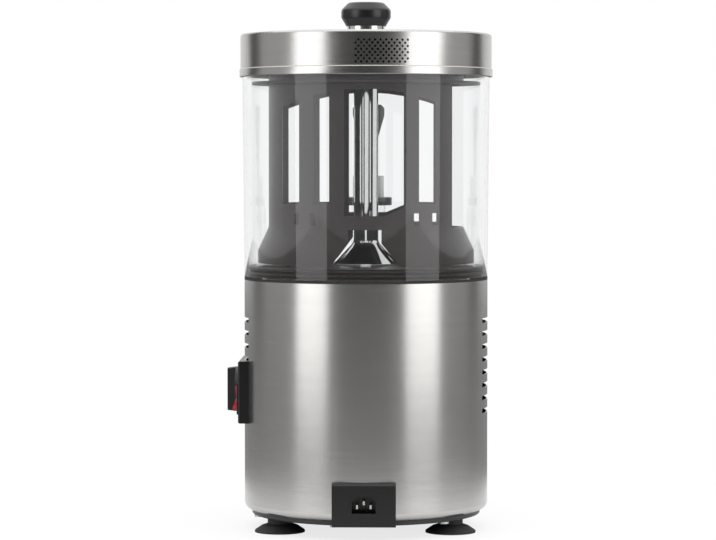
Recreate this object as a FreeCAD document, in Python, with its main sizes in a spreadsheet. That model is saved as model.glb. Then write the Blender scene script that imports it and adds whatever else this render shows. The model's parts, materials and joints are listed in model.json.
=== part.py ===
import FreeCAD, Part
import math
import os

import Sketcher
from FreeCAD import Placement, Rotation, Vector

# Hot chocolate dispenser, in millimetres.
# The vessel stands on the Z axis of its own frame: front at -Y, mains inlet at +Y, controls at +X,
# table at z = 0.
# Every sub-part is drawn in that frame, and its Placement moves it so that the origin lies under the middle
# of the whole machine's box.

doc = FreeCAD.newDocument("chocolate_dispenser")
sheet = doc.addObject("Spreadsheet::Sheet", "Sizes")


# Sizes

class Size:
    """A size that knows its value and its formula over the sheet's cells."""

    def __init__(self, value, formula):
        self.value = float(value)
        self.formula = formula

    def join(self, sign, other, swap=False):
        other = other if isinstance(other, Size) else Size(other, repr(float(other)))
        first, second = (other, self) if swap else (self, other)
        results = {
            "+": lambda: first.value + second.value,
            "-": lambda: first.value - second.value,
            "*": lambda: first.value * second.value,
            "/": lambda: first.value / second.value,
        }
        return Size(results[sign](), f"({first.formula} {sign} {second.formula})")

    def __add__(self, other):
        return self.join("+", other)

    def __radd__(self, other):
        return self.join("+", other, True)

    def __sub__(self, other):
        return self.join("-", other)

    def __rsub__(self, other):
        return self.join("-", other, True)

    def __mul__(self, other):
        return self.join("*", other)

    def __rmul__(self, other):
        return self.join("*", other, True)

    def __truediv__(self, other):
        return self.join("/", other)

    def __neg__(self):
        return self.join("*", -1)


def sine(angle):
    return Size(math.sin(math.radians(angle.value)), f"sin({angle.formula})")


def root(area):
    return Size(math.sqrt(area.value), f"sqrt({area.formula})")


rows = []


def cell(alias, value):
    rows.append(alias)
    place = f"A{len(rows)}"
    sheet.set(place, str(value))
    sheet.setAlias(place, alias)
    return Size(value, f"Sizes.{alias}")


def size_of(value):
    return value if isinstance(value, Size) else Size(value, repr(float(value)))


# clearances
slip = cell("slip", 0.05)
soft_gap = cell("soft_gap", 0.3)
loose_gap = cell("loose_gap", 0.5)

# whole machine
overall_height = cell("overall_height", 560)
shell_radius = cell("shell_radius", 130)
shell_wall = cell("shell_wall", 1.2)
shell_bottom_z = cell("shell_bottom_z", 20)
shell_top_z = cell("shell_top_z", 265)
shell_corner = cell("shell_corner", 8)
shell_lip = cell("shell_lip", 20)

# vent slots at both sides
vent_height = cell("vent_height", 5)
vent_pitch = cell("vent_pitch", 13.7)
vent_top_z = cell("vent_top_z", 222.5)
vent_half_angle = cell("vent_half_angle", 18)
vent_count_left = 8
vent_count_right = 4

# base and feet
base_z = cell("base_z", 15)
base_plate = cell("base_plate", 2.5)
base_inset = cell("base_inset", 8)
base_rim = cell("base_rim", 3)
feet_inset = cell("feet_inset", 26)
feet_ring = shell_radius - feet_inset
foot_radius = cell("foot_radius", 26.5)
foot_top_radius = cell("foot_top_radius", 19)
foot_edge = cell("foot_edge", 2)
foot_disc = cell("foot_disc", 7)
foot_neck = cell("foot_neck", 13)
foot_hollow_radius = cell("foot_hollow_radius", 19)
foot_hollow_depth = cell("foot_hollow_depth", 1.5)
foot_angles = {"front": -90, "rear_right": 30, "rear_left": 150}
stud_radius = cell("stud_radius", 3)
stud_bottom_z = cell("stud_bottom_z", 6)
stud_top_z = cell("stud_top_z", 28)
nut_height = cell("nut_height", 5)
nut_radius = cell("nut_radius", 5.8)

# vessel floor, column and seals
gasket_height = cell("gasket_height", 3)
gasket_width = cell("gasket_width", 4)
drum_inset = cell("drum_inset", 12)
drum_radius = shell_radius - drum_inset
floor_top_z = cell("floor_top_z", 280)
floor_wall = cell("floor_wall", 1.2)
floor_hole = cell("floor_hole", 15)
tube_radius = cell("tube_radius", 13)
tube_wall = cell("tube_wall", 1.5)
tube_top_z = cell("tube_top_z", 468)
cone_radius = cell("cone_radius", 34)
cone_rim = cell("cone_rim", 2)
cone_height = cell("cone_height", 25)
spigot_bottom_z = cell("spigot_bottom_z", 262)
seal_rib = cell("seal_rib", 1.6)
seal_rib_count = 3

# clear bowl
bowl_bottom_radius = shell_radius
bowl_flare = cell("bowl_flare", 2)
bowl_top_radius = shell_radius + bowl_flare
bowl_wall = cell("bowl_wall", 4)
bowl_top_z = cell("bowl_top_z", 489)

# lid
lid_overhang = cell("lid_overhang", 4)
lid_radius = shell_radius + lid_overhang
lid_top_z = cell("lid_top_z", 526)
lid_sheet = cell("lid_sheet", 1.2)
lid_bottom_z = cell("lid_bottom_z", 480.5)
lid_bead = cell("lid_bead", 1.0)
lid_bead_height = cell("lid_bead_height", 8)
lid_corner = cell("lid_corner", 3)
lid_ledge = cell("lid_ledge", 7)
collar_radius = cell("collar_radius", 20.3)
collar_height = cell("collar_height", 8.5)
knob_radius = cell("knob_radius", 26.5)
knob_foot_radius = cell("knob_foot_radius", 21)
knob_corner = cell("knob_corner", 8)
knob_band = cell("knob_band", 8)
screw_radius = cell("screw_radius", 2.5)
screw_head = cell("screw_head", 5)
screw_head_height = cell("screw_head_height", 3)
vent_hole_radius = cell("vent_hole_radius", 1.2)
vent_hole_pitch = cell("vent_hole_pitch", 5.7)
vent_hole_rise = cell("vent_hole_rise", 3.2)
vent_hole_low_z = cell("vent_hole_low_z", 493)
vent_field_angle = cell("vent_field_angle", 98)
vent_hole_rows = 8
vent_hole_columns = 10

# paddle
paddle_inset = cell("paddle_inset", 26)
paddle_radius = shell_radius - paddle_inset
paddle_wall = cell("paddle_wall", 3.5)
paddle_top_z = cell("paddle_top_z", 486)
paddle_plate_z = cell("paddle_plate_z", 478)
flange_z = cell("flange_z", 472)
flange_height = cell("flange_height", 3)
flange_inset = cell("flange_inset", 8)
flange_radius = shell_radius - flange_inset
skirt_top_z = cell("skirt_top_z", 321)
skirt_knee_z = cell("skirt_knee_z", 296)
skirt_inset = cell("skirt_inset", 14.5)
skirt_radius = shell_radius - skirt_inset
paddle_gap = cell("paddle_gap", 3)
window_low_z = cell("window_low_z", 346)
arch_top_z = cell("arch_top_z", 466)
arch_radius = cell("arch_radius", 204)
trim_inset = cell("trim_inset", 13.4)
trim_x = paddle_radius - trim_inset
small_low_z = cell("small_low_z", 324.6)
small_top_z = cell("small_top_z", 337)
hub_radius = cell("hub_radius", 16)
hub_bottom_z = cell("hub_bottom_z", 473)
shaft_radius = cell("shaft_radius", 5)
shaft_bottom_z = cell("shaft_bottom_z", 176)
square_half = cell("square_half", 3.4)
thread_radius = cell("thread_radius", 3)
shaft_top_z = cell("shaft_top_z", 500)
paddle_nut_radius = cell("paddle_nut_radius", 14)
paddle_nut_height = cell("paddle_nut_height", 11)
bush_length = cell("bush_length", 16)
bush_flange = cell("bush_flange", 2)

# drive
motor_bottom_z = cell("motor_bottom_z", 44)
motor_radius = cell("motor_radius", 28)
gearbox_bottom_z = cell("gearbox_bottom_z", 110)
gearbox_width = cell("gearbox_width", 76)
gearbox_depth = cell("gearbox_depth", 60)
bridge_z = cell("bridge_z", 148)
bridge_sheet = cell("bridge_sheet", 2)
bridge_half = cell("bridge_half", 58)
bridge_foot = cell("bridge_foot", 18)
bridge_width = cell("bridge_width", 50)
coupling_radius = cell("coupling_radius", 11)
coupling_low_z = cell("coupling_low_z", 160)
coupling_top_z = cell("coupling_top_z", 192)
shaft_split = cell("shaft_split", 2)

# heating
spreader_radius = cell("spreader_radius", 95)
spreader_height = cell("spreader_height", 6)
spreader_hole = cell("spreader_hole", 18)
element_ring = cell("element_ring", 70)
element_radius = cell("element_radius", 4)
element_sweep = cell("element_sweep", 330)
terminal_length = cell("terminal_length", 26)
clamp_inner = cell("clamp_inner", 42)
clamp_outer = cell("clamp_outer", 82)
clamp_sheet = cell("clamp_sheet", 1.5)
clamp_stud_ring = cell("clamp_stud_ring", 52)
clamp_notch = cell("clamp_notch", 44)
cutout_y = cell("cutout_y", 29)
cutout_radius = cell("cutout_radius", 8)
cutout_height = cell("cutout_height", 8)
bulb_radius = cell("bulb_radius", 3)
bulb_y = cell("bulb_y", -24)
bulb_length = cell("bulb_length", 46)

# controls at the +X side
panel_stand = cell("panel_stand", 5.2)
panel_x = shell_radius + panel_stand
panel_low_y = cell("panel_low_y", -50)
panel_width = cell("panel_width", 90)
panel_low_z = cell("panel_low_z", 113)
panel_height = cell("panel_height", 66)
panel_depth = cell("panel_depth", 25)
knob_y = cell("knob_y", -16)
knob_z = cell("knob_z", 145.5)
dial_radius = cell("dial_radius", 24.3)
dial_grip_radius = cell("dial_grip_radius", 23)
dial_stand = cell("dial_stand", 19.5)
dial_reach_x = shell_radius + dial_stand
dial_gap = cell("dial_gap", 0.4)
dial_skirt = cell("dial_skirt", 4)
spindle_radius = cell("spindle_radius", 3)
stat_width = cell("stat_width", 40)
stat_height = cell("stat_height", 44)
stat_depth = cell("stat_depth", 26)
stat_inset = cell("stat_inset", 9)
stat_face_x = shell_radius - stat_inset
rocker_y = cell("rocker_y", 22.5)
rocker_z = cell("rocker_z", 138.5)
rocker_pivot_stand = cell("rocker_pivot_stand", 1)
rocker_pivot_x = shell_radius + rocker_pivot_stand
rocker_width = cell("rocker_width", 16)
rocker_opening = cell("rocker_opening", 27)
rocker_frame = cell("rocker_frame", 2)
rocker_lip = cell("rocker_lip", 1.8)
rocker_back_inset = cell("rocker_back_inset", 22)
rocker_back_x = shell_radius - rocker_back_inset

# mains inlet at the rear
inlet_stand = cell("inlet_stand", 5)
inlet_face_y = shell_radius + inlet_stand
inlet_width = cell("inlet_width", 66)
inlet_low_z = cell("inlet_low_z", 15.4)
inlet_top_z = cell("inlet_top_z", 60.5)
inlet_bevel = cell("inlet_bevel", 2.5)
socket_z = cell("socket_z", 38)
socket_width = cell("socket_width", 24.6)
socket_height = cell("socket_height", 17)
socket_corner = cell("socket_corner", 5)
socket_wall = cell("socket_wall", 2.2)
socket_depth = cell("socket_depth", 17)
socket_back = cell("socket_back", 4)
blade_spacing = cell("blade_spacing", 14)
blade_width = cell("blade_width", 4)
blade_sheet = cell("blade_sheet", 2)
blade_drop = cell("blade_drop", 2)
blade_inset = cell("blade_inset", 3.5)

# tap
tap_stand = cell("tap_stand", 30)
tap_y = -(shell_radius + tap_stand)
tap_outer = cell("tap_outer", 19.5)
tap_inner = cell("tap_inner", 16)
tap_floor_z = cell("tap_floor_z", 262)
tap_floor = cell("tap_floor", 4)
tap_rim_z = cell("tap_rim_z", 345)
spout_outer = cell("spout_outer", 13.5)
spout_inner = cell("spout_inner", 9)
spout_low_z = cell("spout_low_z", 246)
port_radius = cell("port_radius", 8.5)
port_z = cell("port_z", 290)
ring_nut_radius = cell("ring_nut_radius", 27)
ring_nut_low_z = cell("ring_nut_low_z", 341)
ring_nut_top_z = cell("ring_nut_top_z", 350)
bonnet_flange = cell("bonnet_flange", 3)
bonnet_radius = cell("bonnet_radius", 18)
bonnet_bore = cell("bonnet_bore", 14)
bonnet_ceiling_z = cell("bonnet_ceiling_z", 357)
bonnet_slot_z = cell("bonnet_slot_z", 360)
bonnet_top_z = cell("bonnet_top_z", 374)
stem_radius = cell("stem_radius", 5)
stem_slot_z = cell("stem_slot_z", 359)
disc_low_z = cell("disc_low_z", 318)
disc_height = cell("disc_height", 12)
groove_width = cell("groove_width", 4)
ring_thick = cell("ring_thick", 1.7)
cup_radius = cell("cup_radius", 12.5)
cup_height = cell("cup_height", 8)
lever_pin_z = cell("lever_pin_z", 368)
lever_pin_offset = cell("lever_pin_offset", 12)
lever_pin_radius = cell("lever_pin_radius", 2)
piston_pin_radius = cell("piston_pin_radius", 1.5)
lever_half = cell("lever_half", 4.8)
finger_half = cell("finger_half", 2.3)
lever_top_z = cell("lever_top_z", 454)
grip_low_z = cell("grip_low_z", 414)
grip_width = cell("grip_width", 36.5)
neck_width = cell("neck_width", 18)
neck_low_z = cell("neck_low_z", 385)
lever_thick = cell("lever_thick", 9)
spring_radius = cell("spring_radius", 8.6)
spring_wire = cell("spring_wire", 1.1)
spring_turns = 5

# drip tray at the front
tray_half = cell("tray_half", 80)
tray_stand = cell("tray_stand", 125)
tray_reach = shell_radius + tray_stand
tray_low_z = cell("tray_low_z", 36)
tray_top_z = cell("tray_top_z", 58)
tray_wall = cell("tray_wall", 2.5)
tray_corner = cell("tray_corner", 50)
tray_gap = cell("tray_gap", 1.5)
grid_sheet = cell("grid_sheet", 1.5)
grid_ledge = cell("grid_ledge", 4)
grid_drop = cell("grid_drop", 2)
grid_slot = cell("grid_slot", 5)
grid_pitch = cell("grid_pitch", 10)
grid_border = cell("grid_border", 12)
grid_slot_count = 13
tongue_x = cell("tongue_x", 45)
tongue_width = cell("tongue_width", 12)
tongue_sheet = cell("tongue_sheet", 3)
tongue_stand = cell("tongue_stand", 85)
tongue_reach = shell_radius + tongue_stand
hanger_sheet = cell("hanger_sheet", 2)
hanger_low_z = cell("hanger_low_z", 26)
hanger_top_z = cell("hanger_top_z", 62)
hanger_half = cell("hanger_half", 60)
channel_wall = cell("channel_wall", 3)

# places worked out from the sizes
left_reach = lid_radius + lid_bead
axis_x = (left_reach - dial_reach_x) / 2
axis_y = (tray_reach - inlet_face_y) / 2
shell_inside = shell_radius - shell_wall
gasket_top_z = shell_top_z + gasket_height
floor_under_z = floor_top_z - floor_wall
spreader_low_z = floor_under_z - spreader_height
element_z = spreader_low_z - element_radius
clamp_top_z = element_z - element_radius
hanger_radius = shell_radius + hanger_sheet
tray_back = hanger_radius + tray_gap
tube_bore = tube_radius - tube_wall
TURN = 360


# Building blocks

def bind(thing, **sizes):
    for name, size in sizes.items():
        thing.setExpression(name, size_of(size).formula)
    return thing


def seat(thing, x=0, y=0, z=0, turn=None):
    """Puts a primitive at its place in the vessel's frame, with its own turn if it has one."""
    thing.Placement = Placement(Vector(0, 0, 0), turn or Rotation())
    for name, size in (("x", x), ("y", y), ("z", z)):
        thing.setExpression(f"Placement.Base.{name}", size_of(size).formula)
    return thing


ALONG_X = Rotation(Vector(0, 1, 0), 90)
ALONG_Y = Rotation(Vector(1, 0, 0), -90)


def rod(name, radius, low, high, x=0, y=0):
    thing = doc.addObject("Part::Cylinder", name)
    bind(thing, Radius=radius, Height=size_of(high) - low)
    return seat(thing, x, y, low)


def rod_along_x(name, radius, low, high, y=0, z=0):
    thing = doc.addObject("Part::Cylinder", name)
    bind(thing, Radius=radius, Height=size_of(high) - low)
    return seat(thing, low, y, z, ALONG_X)


def rod_along_y(name, radius, low, high, x=0, z=0):
    thing = doc.addObject("Part::Cylinder", name)
    bind(thing, Radius=radius, Height=size_of(high) - low)
    return seat(thing, x, low, z, ALONG_Y)


def block(name, x, y, z):
    """A box between two limits along each axis."""
    thing = doc.addObject("Part::Box", name)
    bind(thing, Length=size_of(x[1]) - x[0], Width=size_of(y[1]) - y[0], Height=size_of(z[1]) - z[0])
    return seat(thing, x[0], y[0], z[0])


def joined(name, *things):
    thing = doc.addObject("Part::MultiFuse", name)
    thing.Shapes = list(things)
    return thing


def cut(name, base, *tools):
    thing = doc.addObject("Part::Cut", name)
    thing.Base = base
    thing.Tool = tools[0] if len(tools) == 1 else joined(f"{name}_tools", *tools)
    return thing


def group(name, *things):
    thing = doc.addObject("Part::Compound", name)
    thing.Links = list(things)
    return thing


def ring(name, outer, inner, low, high, x=0, y=0):
    reach = 1
    tool = rod(f"{name}_bore", inner, size_of(low) - reach, size_of(high) + reach, x, y)
    return cut(name, rod(f"{name}_disc", outer, low, high, x, y), tool)


def rounded(name, base, radius, picks):
    """A fillet on the edges of a boolean that a test picks."""
    doc.recompute()
    thing = doc.addObject("Part::Fillet", name)
    thing.Base = base
    edges = [number for number, edge in enumerate(base.Shape.Edges, 1) if picks(edge)]
    if not edges:
        raise ValueError(f"{name} found no edge to round")
    thing.Edges = [(number, radius.value, radius.value) for number in edges]
    return thing


def origin_plane(body, role):
    return next(item for item in body.Origin.OriginFeatures if item.Role == role)


def outline(body, role, name, *loops):
    """A sketch of closed outlines, each corner held by its two distances from the origin."""
    sketch = body.newObject("Sketcher::SketchObject", name)
    sketch.AttachmentSupport = (origin_plane(body, role), [""])
    sketch.MapMode = "FlatFace"
    for corners in loops:
        corners = [(size_of(a), size_of(b)) for a, b in corners]
        first = sketch.GeometryCount
        count = len(corners)
        spots = [Vector(a.value, b.value, 0) for a, b in corners]
        for index in range(count):
            sketch.addGeometry(Part.LineSegment(spots[index], spots[(index + 1) % count]), False)
        for index in range(count):
            line = first + index
            after = first + (index + 1) % count
            sketch.addConstraint(Sketcher.Constraint("Coincident", line, 2, after, 1))
            for kind, size, spot, axis in (
                ("DistanceX", corners[index][0], spots[index].x, -2),
                ("DistanceY", corners[index][1], spots[index].y, -1),
            ):
                if spot == 0:
                    sketch.addConstraint(Sketcher.Constraint("PointOnObject", line, 1, axis))
                    continue
                ends = (-1, 1, line, 1) if spot > 0 else (line, 1, -1, 1)
                number = sketch.addConstraint(Sketcher.Constraint(kind, *ends, abs(spot)))
                held = size if spot > 0 else -size
                sketch.setExpression(f"Constraints[{number}]", held.formula)
    return sketch


def turned(name, *corners):
    """A body turned about the vessel's axis from an outline of (radius, height) corners."""
    body = doc.addObject("PartDesign::Body", name)
    doc.recompute()
    sketch = outline(body, "XZ_Plane", f"{name}_profile", corners)
    feature = body.newObject("PartDesign::Revolution", f"{name}_turn")
    feature.Profile = sketch
    feature.ReferenceAxis = (sketch, ["V_Axis"])
    feature.Angle = TURN
    sketch.Visibility = False
    return body


def soften(body, radius, *rings):
    """Rounds the round edges of a turned body that lie at the given (radius, height) places."""
    doc.recompute()
    tip = body.Tip
    names = []
    for number, edge in enumerate(tip.Shape.Edges, 1):
        curve = edge.Curve
        if not isinstance(curve, Part.Circle) or not edge.Closed:
            continue
        for around, height in rings:
            near_radius = abs(curve.Radius - size_of(around).value) < 0.01
            near_height = abs(curve.Center.z - size_of(height).value) < 0.01
            if near_radius and near_height:
                names.append(f"Edge{number}")
    if len(names) != len(rings):
        raise ValueError(f"{body.Name} has {len(names)} of {len(rings)} edges to round")
    feature = body.newObject("PartDesign::Fillet", f"{body.Name}_round_{len(body.Group)}")
    feature.Base = (tip, names)
    bind(feature, Radius=radius)
    body.Tip = feature
    return body


def pierced(body, role, name, *loops):
    """Cuts closed outlines straight through a body, both ways from a plane of its origin."""
    doc.recompute()
    before = body.Shape.Volume
    sketch = outline(body, role, f"{name}_outline", *loops)
    feature = body.newObject("PartDesign::Pocket", name)
    feature.Profile = sketch
    feature.Type = "ThroughAll"
    feature.Midplane = True
    sketch.Visibility = False
    body.Tip = feature
    doc.recompute()
    if body.Shape.Volume >= before:
        raise ValueError(f"{name} cuts nothing")
    return body


def slab(name, role, length, *loops):
    """A body padded to both sides of a plane of its origin."""
    body = doc.addObject("PartDesign::Body", name)
    doc.recompute()
    sketch = outline(body, role, f"{name}_outline", *loops)
    feature = body.newObject("PartDesign::Pad", f"{name}_pad")
    feature.Profile = sketch
    feature.Midplane = True
    bind(feature, Length=length)
    sketch.Visibility = False
    return body


parts = []
shell_screws = []


def part(node, thing):
    """Names a finished sub-part and moves it from the vessel's frame to the machine's frame."""
    thing.Label = node
    for name, size in (("x", axis_x), ("y", axis_y)):
        thing.setExpression(f"Placement.Base.{name}", size.formula)
    parts.append(thing)
    return thing


def part_moved(node, thing):
    """A turned or padded sub-part that stands away from the vessel's axis, held in a group."""
    return part(node, group(f"{node}_part", thing))


def polar(ring_size, angle):
    """The place of something at an angle on a ring about the vessel's axis."""
    return ring_size * math.cos(math.radians(angle)), ring_size * math.sin(math.radians(angle))


def screw(name, x, y, low, high, shank, head, head_height, head_up=True):
    """A vertical screw: its shank between two heights, and its head outside one of them."""
    top = (high, size_of(high) + head_height) if head_up else (size_of(low) - head_height, low)
    return joined(name, rod(f"{name}_shank", shank, low, high, x, y), rod(f"{name}_head", head, *top, x, y))


# Base and feet

def build_feet():
    for side, angle in foot_angles.items():
        node = f"foot_{side}"
        body = turned(
            f"{node}_body",
            (0, foot_hollow_depth),
            (foot_hollow_radius, foot_hollow_depth),
            (foot_hollow_radius + foot_hollow_depth, 0),
            (foot_radius, 0),
            (foot_radius, foot_edge),
            (foot_top_radius, foot_disc),
            (foot_neck, foot_disc + foot_edge),
            (foot_neck, base_z),
            (stud_radius, base_z),
            (stud_radius, stud_bottom_z),
            (0, stud_bottom_z),
        )
        soften(body, foot_edge * 0.6, (foot_radius, foot_edge))
        x, y = polar(feet_ring, angle)
        seat(body, x, y, 0)
        part_moved(node, body)


def build_studs():
    studs = []
    nuts = []
    for side, angle in foot_angles.items():
        x, y = polar(feet_ring, angle)
        studs.append(rod(f"stud_{side}", stud_radius, stud_bottom_z, stud_top_z, x, y))
        low = base_z + base_plate
        nut = doc.addObject("Part::Prism", f"nut_{side}")
        nut.Polygon = 6
        bind(nut, Circumradius=nut_radius, Height=nut_height)
        seat(nut, x, y, low)
        bore = rod(f"nut_{side}_bore", stud_radius + slip, low - 1, low + nut_height + 1, x, y)
        nuts.append(cut(f"foot_nut_{side}", nut, bore))
    part("foot_studs", group("foot_studs_group", *studs))
    part("foot_nuts", group("foot_nuts_group", *nuts))


BASE_SCREW_ANGLES = (0, 60, 120, 180, 240, 300)


def build_base():
    rim = shell_radius - base_inset
    body = turned(
        "base_pan_body",
        (0, base_z),
        (rim, base_z),
        (rim, shell_bottom_z),
        (rim - 2 * base_rim - 4, shell_bottom_z),
        (rim - 2 * base_rim - 4, base_z + base_plate),
        (0, base_z + base_plate),
    )
    soften(body, slip * 20, (rim, base_z))
    holes = []
    for side, angle in foot_angles.items():
        x, y = polar(feet_ring, angle)
        holes.append(rod(f"pan_hole_{side}", stud_radius + slip, 0, stud_top_z, x, y))
    screws = []
    for number, angle in enumerate(BASE_SCREW_ANGLES):
        x, y = polar(rim - base_rim - 2, angle + 15)
        top = shell_bottom_z + shell_wall
        holes.append(rod(f"pan_screw_hole_{number}", screw_radius + slip, 0, stud_top_z, x, y))
        screws.append(screw(f"base_screw_{number}", x, y, base_z, top, screw_radius, screw_head, 2, False))
    for number, (x, y) in enumerate(bridge_screw_places()):
        holes.append(rod(f"pan_bridge_hole_{number}", screw_radius + slip, 0, stud_top_z, x, y))
    part("base_pan", cut("base_pan_drilled", body, *holes))
    part("base_screws", group("base_screws_group", *screws))


# Steel shell

def vent_tools(side, count):
    half = shell_radius * sine(vent_half_angle)
    tools = []
    for number in range(count):
        middle = vent_top_z - number * vent_pitch
        near, far = shell_radius * 0.8, shell_radius + 1
        reach = (near, far) if side > 0 else (-far, -near)
        z = (middle - vent_height / 2, middle + vent_height / 2)
        tools.append(block(f"vent_{'right' if side > 0 else 'left'}_{number}", reach, (-half, half), z))
    return tools


def build_shell():
    lip = shell_radius - shell_lip
    body = turned(
        "steel_shell_body",
        (lip, shell_top_z),
        (shell_radius, shell_top_z),
        (shell_radius, shell_bottom_z),
        (lip, shell_bottom_z),
        (lip, shell_bottom_z + shell_wall),
        (shell_inside, shell_bottom_z + shell_wall),
        (shell_inside, shell_top_z - shell_wall),
        (lip, shell_top_z - shell_wall),
    )
    soften(body, shell_corner, (shell_radius, shell_bottom_z))
    soften(body, shell_corner - shell_wall, (shell_inside, shell_bottom_z + shell_wall))
    tools = vent_tools(-1, vent_count_left) + vent_tools(1, vent_count_right)
    half = rocker_width / 2 + rocker_frame + slip
    rocker_half = rocker_opening / 2 + rocker_frame + slip
    tools.append(block(
        "shell_rocker_hole",
        (stat_face_x, shell_radius + 1),
        (rocker_y - half, rocker_y + half),
        (rocker_z - rocker_half, rocker_z + rocker_half),
    ))
    tools.append(rod_along_x(
        "shell_spindle_hole", spindle_radius * 2, stat_face_x, shell_radius + 1, knob_y, knob_z))
    for number, y in enumerate(stat_screw_places()):
        tools.append(rod_along_x(
            f"shell_stat_hole_{number}", screw_radius + slip, stat_face_x - 6, shell_radius + 1, y, knob_z))
    wide = socket_width / 2 + socket_wall + slip
    tall = socket_height / 2 + socket_wall + slip
    tools.append(block(
        "shell_inlet_hole",
        (-wide, wide),
        (shell_radius * 0.8, shell_radius + 1),
        (socket_z - tall, socket_z + tall),
    ))
    for number, x in enumerate(inlet_screw_places()):
        tools.append(rod_along_y(
            f"shell_inlet_screw_hole_{number}", screw_radius + slip, shell_radius * 0.8, shell_radius + 1,
            x, socket_z))
    for number, (x, z) in enumerate(hanger_screw_places()):
        tools.append(rod_along_y(
            f"shell_hanger_hole_{number}", screw_radius + slip, -shell_radius - 1, -shell_radius * 0.8, x, z))
    for number, angle in enumerate(BASE_SCREW_ANGLES):
        x, y = polar(shell_radius - base_inset - base_rim - 2, angle + 15)
        tools.append(rod(f"shell_base_hole_{number}", screw_radius + slip, 0, stud_top_z, x, y))
    part("steel_shell", cut("steel_shell_cut", body, *tools))


def build_gasket():
    thing = ring(
        "shell_gasket_ring", shell_radius, shell_radius - gasket_width, shell_top_z, gasket_top_z)
    part("shell_gasket", thing)


# Vessel floor, column and seal

def build_floor():
    flange = shell_radius - gasket_width - soft_gap
    body = turned(
        "floor_pan_body",
        (floor_hole, floor_under_z),
        (drum_radius - floor_wall, floor_under_z),
        (drum_radius - floor_wall, shell_top_z),
        (flange, shell_top_z),
        (flange, shell_top_z + floor_wall),
        (drum_radius, shell_top_z + floor_wall),
        (drum_radius, floor_top_z),
        (floor_hole, floor_top_z),
    )
    part("floor_pan", body)


def build_column():
    shoulder = floor_top_z + cone_rim
    body = turned(
        "column_body",
        (tube_bore, spigot_bottom_z),
        (floor_hole - slip, spigot_bottom_z),
        (floor_hole - slip, floor_top_z),
        (cone_radius, floor_top_z),
        (cone_radius, shoulder),
        (tube_radius + 1.5, shoulder + cone_height * 0.85),
        (tube_radius, shoulder + cone_height),
        (tube_radius, tube_top_z),
        (tube_bore, tube_top_z),
    )
    part("column", body)


def build_bushes():
    for node, low, high, flange_low in (
        ("lower_bush", spigot_bottom_z, spigot_bottom_z + bush_length, spigot_bottom_z - bush_flange),
        ("upper_bush", tube_top_z - bush_length, tube_top_z, tube_top_z),
    ):
        sleeve = rod(f"{node}_sleeve", tube_bore - slip, low, high)
        flange = rod(f"{node}_flange", tube_radius, flange_low, flange_low + bush_flange)
        bore = rod(f"{node}_bore", shaft_radius + slip, low - 5, high + 5)
        part(node, cut(f"{node}_cut", joined(f"{node}_solid", sleeve, flange), bore))


def build_seal():
    inner = drum_radius + slip
    outer = bowl_bottom_radius - bowl_wall - soft_gap
    valley = outer - seal_rib
    low = shell_top_z + floor_wall
    pitch = (floor_top_z - low) / seal_rib_count
    corners = [(inner, low)]
    for number in range(seal_rib_count):
        corners.append((valley, low + number * pitch))
        corners.append((outer, low + number * pitch + pitch * 0.25))
        corners.append((outer, low + number * pitch + pitch * 0.75))
    corners.append((valley, floor_top_z))
    corners.append((inner, floor_top_z))
    part("bowl_seal", turned("bowl_seal_body", *corners))


# Heating under the floor

def build_heating():
    spreader = ring("heat_spreader_ring", spreader_radius, spreader_hole, spreader_low_z, floor_under_z)
    part("heat_spreader", spreader)
    coil = doc.addObject("Part::Torus", "element_coil")
    bind(coil, Radius1=element_ring, Radius2=element_radius, Angle3=element_sweep)
    seat(coil, 0, 0, element_z, Rotation(Vector(0, 0, 1), 15))
    ends = []
    for number, angle in enumerate((15, 345)):
        x, y = polar(element_ring, angle)
        tip = element_z - terminal_length
        ends.append(rod(f"element_end_{number}", element_radius * 0.95, tip, element_z, x, y))
        ends.append(rod(f"element_tab_{number}", element_radius * 0.4, tip - 6, tip, x, y))
    part("heating_element", joined("heating_element_solid", coil, *ends))
    clamp = ring("clamp_ring", clamp_outer, clamp_inner, clamp_top_z - clamp_sheet, clamp_top_z)
    notch = block(
        "clamp_notch_tool",
        (clamp_inner + element_ring * 0.2, clamp_outer + 1),
        (-clamp_notch / 2, clamp_notch / 2),
        (clamp_top_z - clamp_sheet - 1, clamp_top_z + 1),
    )
    tools = [notch]
    screws = []
    for number, angle in enumerate((60, 180, 300)):
        x, y = polar(clamp_stud_ring, angle)
        low = clamp_top_z - clamp_sheet
        tools.append(rod(f"clamp_hole_{number}", screw_radius + slip, low - 1, clamp_top_z + 1, x, y))
        screws.append(screw(
            f"clamp_screw_{number}", x, y, low, spreader_low_z, screw_radius, screw_head, screw_head_height,
            False))
    part("element_clamp", cut("element_clamp_cut", clamp, *tools))
    part("clamp_screws", group("clamp_screws_group", *screws))
    can_low = spreader_low_z - cutout_height
    tab_y = (cutout_y - blade_width * 0.75, cutout_y + blade_width * 0.75)
    tab_z = (can_low - cutout_height, can_low)
    cutout = joined(
        "cutout_solid",
        rod("cutout_can", cutout_radius, can_low, spreader_low_z, 0, cutout_y),
        block("cutout_tab_a", (-cutout_radius * 0.625, -cutout_radius * 0.5), tab_y, tab_z),
        block("cutout_tab_b", (cutout_radius * 0.5, cutout_radius * 0.625), tab_y, tab_z),
    )
    part("safety_cutout", cutout)


# Gear motor and drive line

def bridge_screw_places():
    x = bridge_half + bridge_foot * 0.6
    y = bridge_width * 0.3
    return [(x, y), (x, -y), (-x, y), (-x, -y)]


def gearbox_screw_places():
    x = gearbox_width * 0.4
    y = gearbox_depth * 0.33
    return [(x, y), (x, -y), (-x, y), (-x, -y)]


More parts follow.
